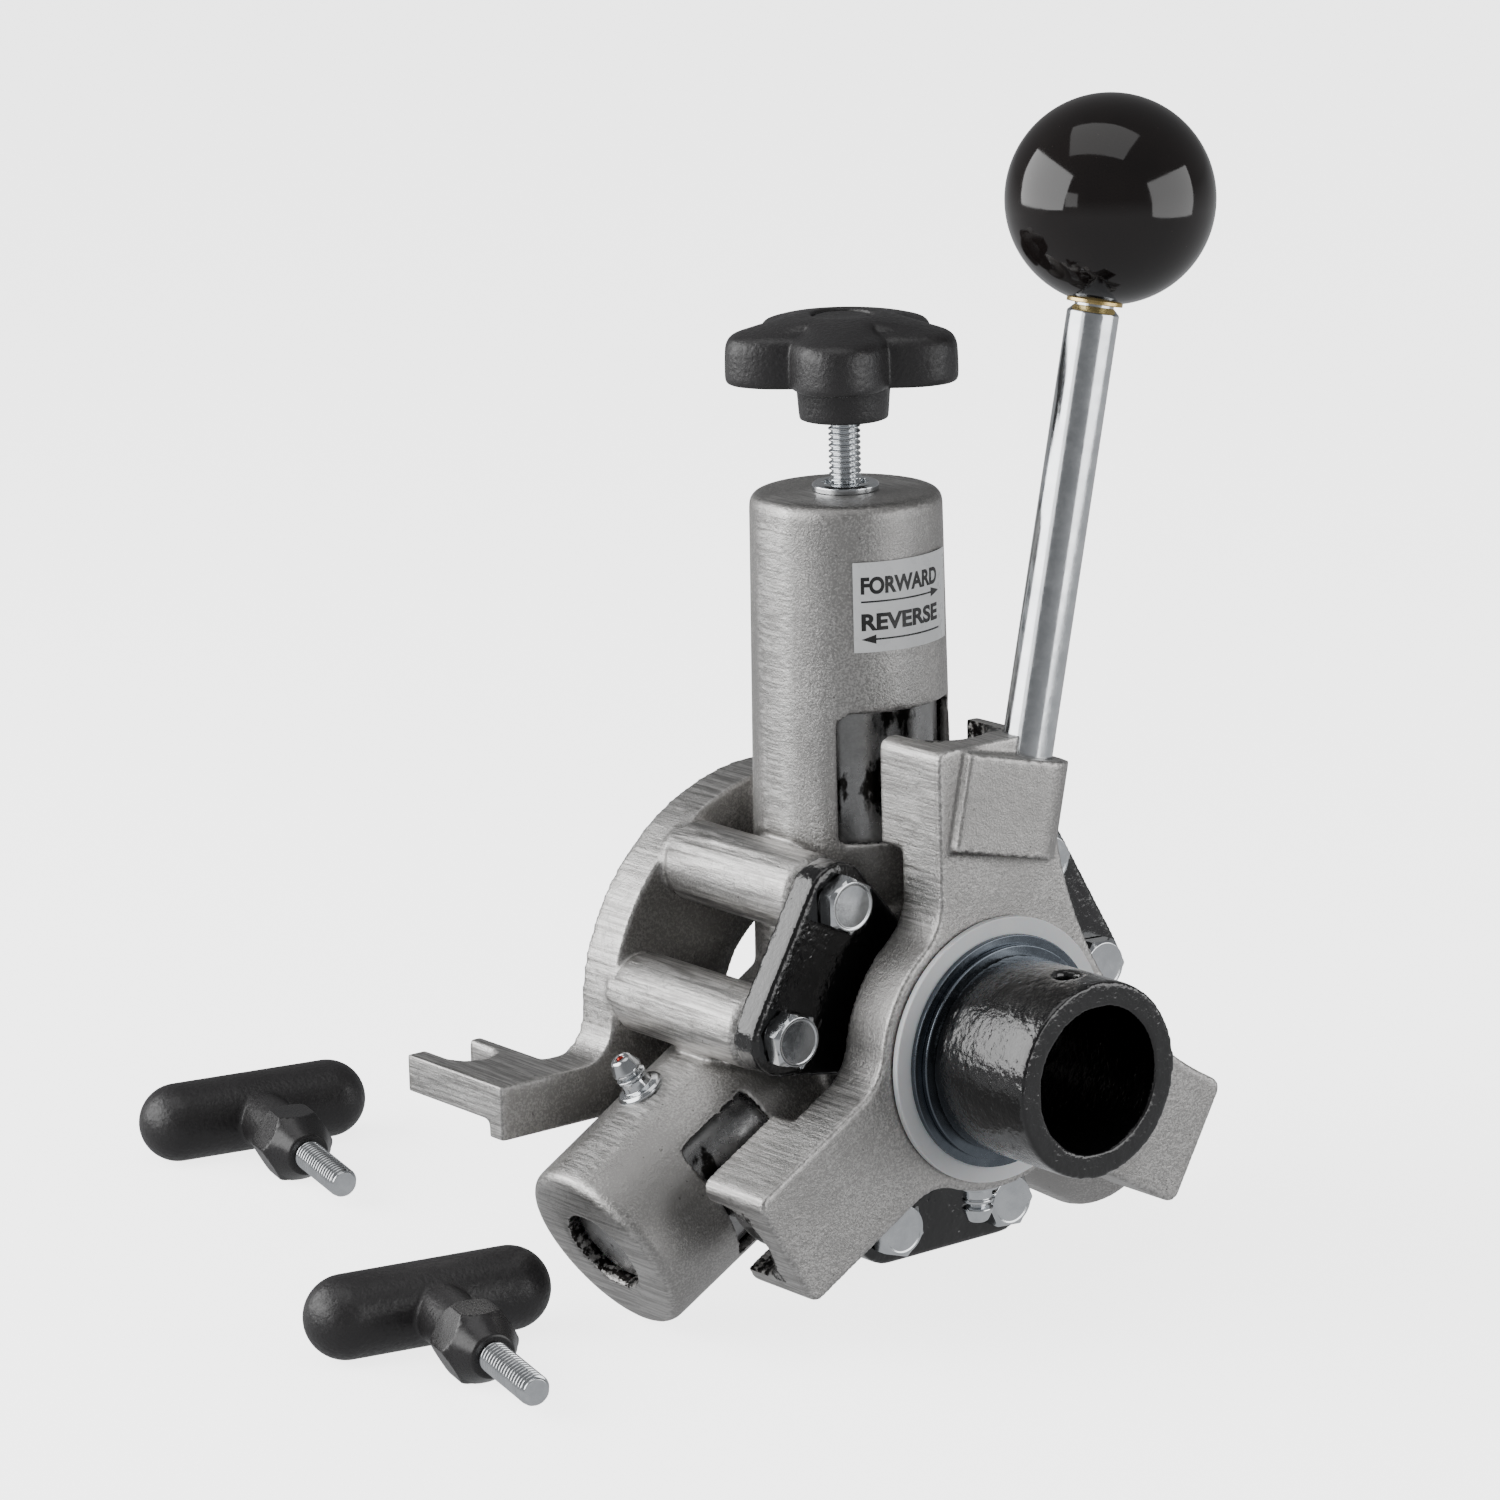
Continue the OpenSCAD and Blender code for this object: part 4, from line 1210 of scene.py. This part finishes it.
@dataclass
class DirectionLabel:
    """The sticker on the top barrel: two words, each over an arrow. Millimetres."""

    low: float = 95.0
    high: float = 117.2
    radius: float = 24.36
    half_angle: float = 36.0
    margin: float = 1.9

    def wrapped(self, flat: np.ndarray, lift: float) -> np.ndarray:
        """Bend flat points round the barrel: angle = distance along / radius."""
        reach = self.radius + lift
        angle = flat[:, 0] / self.radius
        x, y = reach * np.sin(angle), -BARREL_PLANE / MM - reach * np.cos(angle)
        return np.stack([x, y, self.low + flat[:, 1]], axis=-1) * MM

    def sheet(self, left: float, right: float, low: float, high: float, count: int) -> Patch:
        """A flat strip of faces, count wide, still unbent; low and high may be arrays."""
        along = np.linspace(left, right, count + 1)
        foot = np.stack([along, np.broadcast_to(low, along.shape)], axis=-1)
        head = np.stack([along, np.broadcast_to(high, along.shape)], axis=-1)
        index = np.arange(count)
        faces = np.stack([index, index + 1, index + count + 2, index + count + 1], axis=-1)
        return Patch(np.vstack([foot, head]), faces.tolist())

    def word(self, text: str, left: float, low: float, width: float, height: float) -> Patch:
        """A word as flat faces, cut into narrow strips so that it can be bent."""
        letters = bpy.data.curves.new(text, "FONT")
        letters.body = text
        letters.offset = 0.04
        holder = bpy.data.objects.new(text, letters)
        bpy.context.scene.collection.objects.link(holder)
        graph = bpy.context.evaluated_depsgraph_get()
        mesh = bpy.data.meshes.new_from_object(holder.evaluated_get(graph))
        bpy.data.objects.remove(holder)
        work = bmesh.new()
        work.from_mesh(mesh)
        box = np.array([vertex.co[:2] for vertex in work.verts])
        start, size = box.min(0), np.ptp(box, axis=0)
        for cut in np.linspace(start[0], start[0] + size[0], 40)[1:-1]:
            parts = work.verts[:] + work.edges[:] + work.faces[:]
            bmesh.ops.bisect_plane(work, geom=parts, plane_co=(cut, 0, 0), plane_no=(1, 0, 0))
        work.verts.index_update()
        points = np.array([vertex.co[:2] for vertex in work.verts])
        faces = [tuple(vertex.index for vertex in face.verts) for face in work.faces]
        work.free()
        scaled = (points - start) / size * (width, height) + (left, low)
        return Patch(scaled, faces)

    def arrow(self, tail: float, tip: float, level: float) -> Patch:
        """A thin line that ends in a slim three-cornered head."""
        turn = math.copysign(1, tip - tail)
        neck = tip - turn * 3.6
        ends = sorted((tail, neck))
        line = self.sheet(ends[0], ends[1], level - 0.22, level + 0.22, 20)
        ends = sorted((neck, tip))
        fade = np.linspace(1, 0.02, 7) if turn > 0 else np.linspace(0.02, 1, 7)
        head = self.sheet(ends[0], ends[1], level - 1.15 * fade, level + 1.15 * fade, 6)
        return line.beside(head)

    def build(self) -> None:
        """Make the film and its print."""
        half = math.radians(self.half_angle) * self.radius
        tall = self.high - self.low
        film = self.sheet(-half, half, 0, tall, 40)
        piece = Patch(self.wrapped(film.points, 0), film.faces).piece("label_sheet")
        self.thicken(piece, 0.10)
        seat(piece, Body.FRAME.value, LabelFilm(), "direction_label")
        left, right = -half + self.margin, half - self.margin - 3.5
        wide = right - left
        prints = self.word("FORWARD", left, tall - 7.9, wide, 4.3)
        for patch in (
            self.arrow(left, right + 0.8, tall - 9.7),
            self.word("REVERSE", left, tall - 16.9, wide, 4.3),
            self.arrow(right + 0.8, left, tall - 19.0),
        ):
            prints = prints.beside(patch)
        piece = Patch(self.wrapped(prints.points, 0.035), prints.faces).piece("label_print")
        self.thicken(piece, 0.03)
        seat(piece, Body.FRAME.value, INK)

    def thicken(self, piece: Piece, depth: float) -> None:
        """Give a bent sheet its thickness, inwards from its face."""
        shell = piece.modifiers.new("thickness", "SOLIDIFY")
        shell.thickness = depth * MM
        shell.offset = -1


@dataclass
class RollerUnit:
    """One barrel's holder, axle and roller. Millimetres."""

    side: Barrel
    roller_at: float = 23.0
    roller_r: float = 15.0
    half_width: float = 6.6
    bore: float = 6.0

    def roller(self) -> Patch:
        """A roller with bevelled rims and a shallow worn track: a closed outline, spun."""
        out, half = self.roller_r, self.half_width
        outline = [(self.bore, -half), (out - 1.15, -half), (out, -half + 1.15), (out, -2.6),
                   (out - 0.18, -1.6), (out - 0.18, 1.6), (out, 2.6), (out, half - 1.15),
                   (out - 1.15, half), (self.bore, half)]
        return turned_ring(outline, 0.35, 120)

    def build(self) -> None:
        """Make the holder and the roller, and dress the axle, pins and bush."""
        name = self.side.name.lower()
        Casting(f"{name}_holder", f"{name}_roller_holder", f"{name}_swivel", GreasedSteel(),
                voxel=0.7, eases=3, limit=90000).build()
        place = on_barrel(self.side) @ along_z(self.roller_at * MM)
        place = place @ Matrix.Rotation(math.pi / 2, 4, "X")
        piece = self.roller().placed(place).piece(f"{name}_feed_roller")
        seat(crisp(piece), f"{name}_wheel", HARDENED, f"{name}_roller")
        for node, finish in ((f"{name}_axle", HARDENED), (f"{name}_axle_pins", HARDENED),
                             (f"{name}_roller_bush", BRONZE)):
            dress_node(node, finish)


def dress_node(node: str, finish: Finish) -> None:
    """Give a CAD node that stays in sight its finish."""
    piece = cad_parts[node]
    piece.data.materials.clear()
    piece.data.materials.append(finish.material())
    LOG.info("%s keeps its CAD shape", node)


@dataclass
class TeeHandle:
    """A loose tee handle: moulded grip, hexagonal collar and threaded stud. Millimetres."""

    prefix: str
    body: Body
    at: tuple
    flats: float = 17.6
    collar_from: float = 23.5
    hex_end: float = 32.0
    collar_to: float = 39.5
    reach: float = 64.0

    def place(self) -> Matrix:
        """Local +Z runs along the stud."""
        turn = Matrix.Rotation(TEE_AZIMUTH, 4, "Z") @ Matrix.Rotation(TEE_DIP, 4, "Y")
        along = Matrix.Rotation(math.pi / 2, 4, "Y")
        return Matrix.Translation(Vector(self.at) * MM) @ turn @ along

    def collar(self) -> Patch:
        """Hexagon with rounded corners at the grip, running into a cone at the stud."""
        corner = self.flats / math.sqrt(3) - 0.1
        outline = [(0, self.collar_from), (corner - 0.8, self.collar_from), (corner, self.collar_from + 1.3),
                   (corner, self.hex_end), (corner * 0.86, self.hex_end + 1.9), (5.5, self.collar_to),
                   (0, self.collar_to)]
        return hexed(outline, self.flats, 0.7, 144)

    def build(self) -> None:
        """Make the handle's three pieces."""
        body, stem = self.body.value, self.prefix
        Casting(f"{stem}_grip", f"{stem}_handle", body, MouldedNylon(), voxel=0.55, eases=3,
                limit=90000).build()
        piece = self.collar().placed(self.place()).piece(f"{stem}_hex_collar")
        seat(crisp(piece, angle=20), body, COLLAR, f"{stem}_collar")
        piece = threaded(20.0, self.reach, 3.97, 1.0).placed(self.place()).piece(f"{stem}_threaded_stud")
        seat(crisp(piece, angle=60), body, ZINC, f"{stem}_stud")


# ---- Studio ----


@dataclass
class Softbox:
    """One soft light, placed in the camera's own directions."""

    name: str
    right: float
    up: float
    back: float
    width: float
    height: float
    power: float


@dataclass
class Studio:
    """Floor, lights, surroundings and camera. Lengths are in metres."""

    azimuth: float = -37.99
    elevation: float = 13.55
    roll: float = -1.457
    distance: float = 1.5
    lens: float = 144.39
    aim_right: float = -0.02655
    aim_up: float = 0.06327
    floor_half: float = 12.0
    overhead: float = 0.22
    underneath: float = 0.55
    floor_glow: float = 3.2
    boxes: list = field(default_factory=lambda: [
        Softbox("left_box", -1.09, 0.38, 0.10, 1.5, 0.9, 21),
        Softbox("right_box", 1.12, 0.16, 0.42, 1.2, 0.8, 9),
        Softbox("front_box", -0.94, 0.02, 1.0, 0.34, 0.34, 0.7),
        Softbox("top_box", -0.1, 1.15, 0.25, 1.2, 0.8, 4),
    ])

    def directions(self) -> tuple:
        """The camera's right, up and backward directions."""
        azimuth, elevation = math.radians(self.azimuth), math.radians(self.elevation)
        roll = math.radians(self.roll)
        flat = math.cos(elevation)
        back = Vector((math.sin(azimuth) * flat, -math.cos(azimuth) * flat, math.sin(elevation)))
        level = Vector((math.cos(azimuth), math.sin(azimuth), 0))
        upright = back.cross(level)
        right = level * math.cos(roll) + upright * math.sin(roll)
        up = upright * math.cos(roll) - level * math.sin(roll)
        return right, up, back

    def camera(self) -> None:
        """Stand the camera where it sees the object."""
        right, up, back = self.directions()
        aim = Vector((0, -BARREL_PLANE, 0)) + right * self.aim_right + up * self.aim_up
        data = bpy.data.cameras.new("camera")
        data.lens = self.lens
        data.clip_start, data.clip_end = 0.05, 60
        made = bpy.data.objects.new("camera", data)
        bpy.context.scene.collection.objects.link(made)
        turn = Matrix((right, up, back)).transposed().to_4x4()
        made.matrix_world = Matrix.Translation(aim + back * self.distance) @ turn
        bpy.context.scene.camera = made

    def light(self, box: Softbox) -> None:
        """Hang one softbox and turn it to the object."""
        right, up, back = self.directions()
        offset = right * box.right + Vector((0, 0, 1)) * box.up + back * box.back
        data = bpy.data.lights.new(box.name, "AREA")
        data.shape = "RECTANGLE"
        data.size, data.size_y = box.width, box.height
        data.energy = box.power
        made = bpy.data.objects.new(box.name, data)
        made.location = Vector((0, -BARREL_PLANE, 0.05)) + offset
        made.rotation_euler = offset.to_track_quat("Z", "Y").to_euler()
        made.visible_camera = False
        bpy.context.scene.collection.objects.link(made)

    def floor(self) -> None:
        """Lay the plain pale floor."""
        half = self.floor_half
        corners = np.array([(-half, -half, 0), (half, -half, 0), (half, half, 0), (-half, half, 0)])
        patch = Patch(corners + (0, 0, FLOOR_Z), [(0, 1, 2, 3)])
        piece = patch.piece("floor")
        material = bpy.data.materials.new("floor_white")
        material.use_nodes = True
        shader = material.node_tree.nodes["Principled BSDF"]
        shader.inputs["Base Color"].default_value = (0.92, 0.92, 0.92, 1)
        shader.inputs["Roughness"].default_value = 0.8
        shader.inputs["Specular IOR Level"].default_value = 0.1
        shader.inputs["Emission Color"].default_value = (1, 1, 1, 1)
        shader.inputs["Emission Strength"].default_value = self.floor_glow
        piece.data.materials.append(material)
        piece.visible_glossy = False
        piece.visible_diffuse = False

    def build(self) -> None:
        """Set up the whole studio."""
        self.camera()
        for box in self.boxes:
            self.light(box)
        self.floor()
        bpy.context.scene.world = self.surroundings()

    def surroundings(self) -> bpy.types.World:
        """A plain surrounding that is brighter below the horizon than above it."""
        world = bpy.data.worlds.new("surroundings")
        world.use_nodes = True
        tree = world.node_tree
        backdrop = tree.nodes["Background"]
        backdrop.inputs["Color"].default_value = (0.97, 0.98, 1, 1)
        place = tree.nodes.new("ShaderNodeTexCoord")
        parts = tree.nodes.new("ShaderNodeSeparateXYZ")
        level = tree.nodes.new("ShaderNodeMapRange")
        tree.links.new(place.outputs["Generated"], parts.inputs["Vector"])
        tree.links.new(parts.outputs["Z"], level.inputs["Value"])
        ends = zip(("From Min", "From Max", "To Min", "To Max"), (-0.2, 0.1, self.underneath, self.overhead))
        for name, number in ends:
            level.inputs[name].default_value = number
        tree.links.new(level.outputs["Result"], backdrop.inputs["Strength"])
        return world


def main() -> None:
    """Build the studio and every sub-assembly."""
    logging.basicConfig(level=logging.INFO, format="%(name)s: %(message)s")
    Studio().build()
    frame_body, lever_body = Body.FRAME.value, Body.LEVER.value
    Housing("housing", "main_casting", frame_body, CastAluminium()).build()
    Nose("nose", "nose_casting", frame_body, BlackPaint(), voxel=0.75, eases=6).build()
    Yoke("yoke", "yoke_casting", lever_body, CastAluminium(), voxel=0.7).build()
    FlangeBolts().build()
    NoseRings().build()
    GreaseFittings().build()
    Lever().build()
    FeedScrew().build()
    DirectionLabel().build()
    for side in Barrel:
        RollerUnit(side).build()
    TeeHandle("rear_tee", Body.REAR_TEE, (-58.7, 149, -57.3)).build()
    TeeHandle("front_tee", Body.FRONT_TEE, (-116.8, -14.3, -57.3)).build()
    dress_node("thrust_washers", WhiteNylon())
    dress_node("yoke_bushing", BRONZE)


if __name__ == "__main__":
    main()
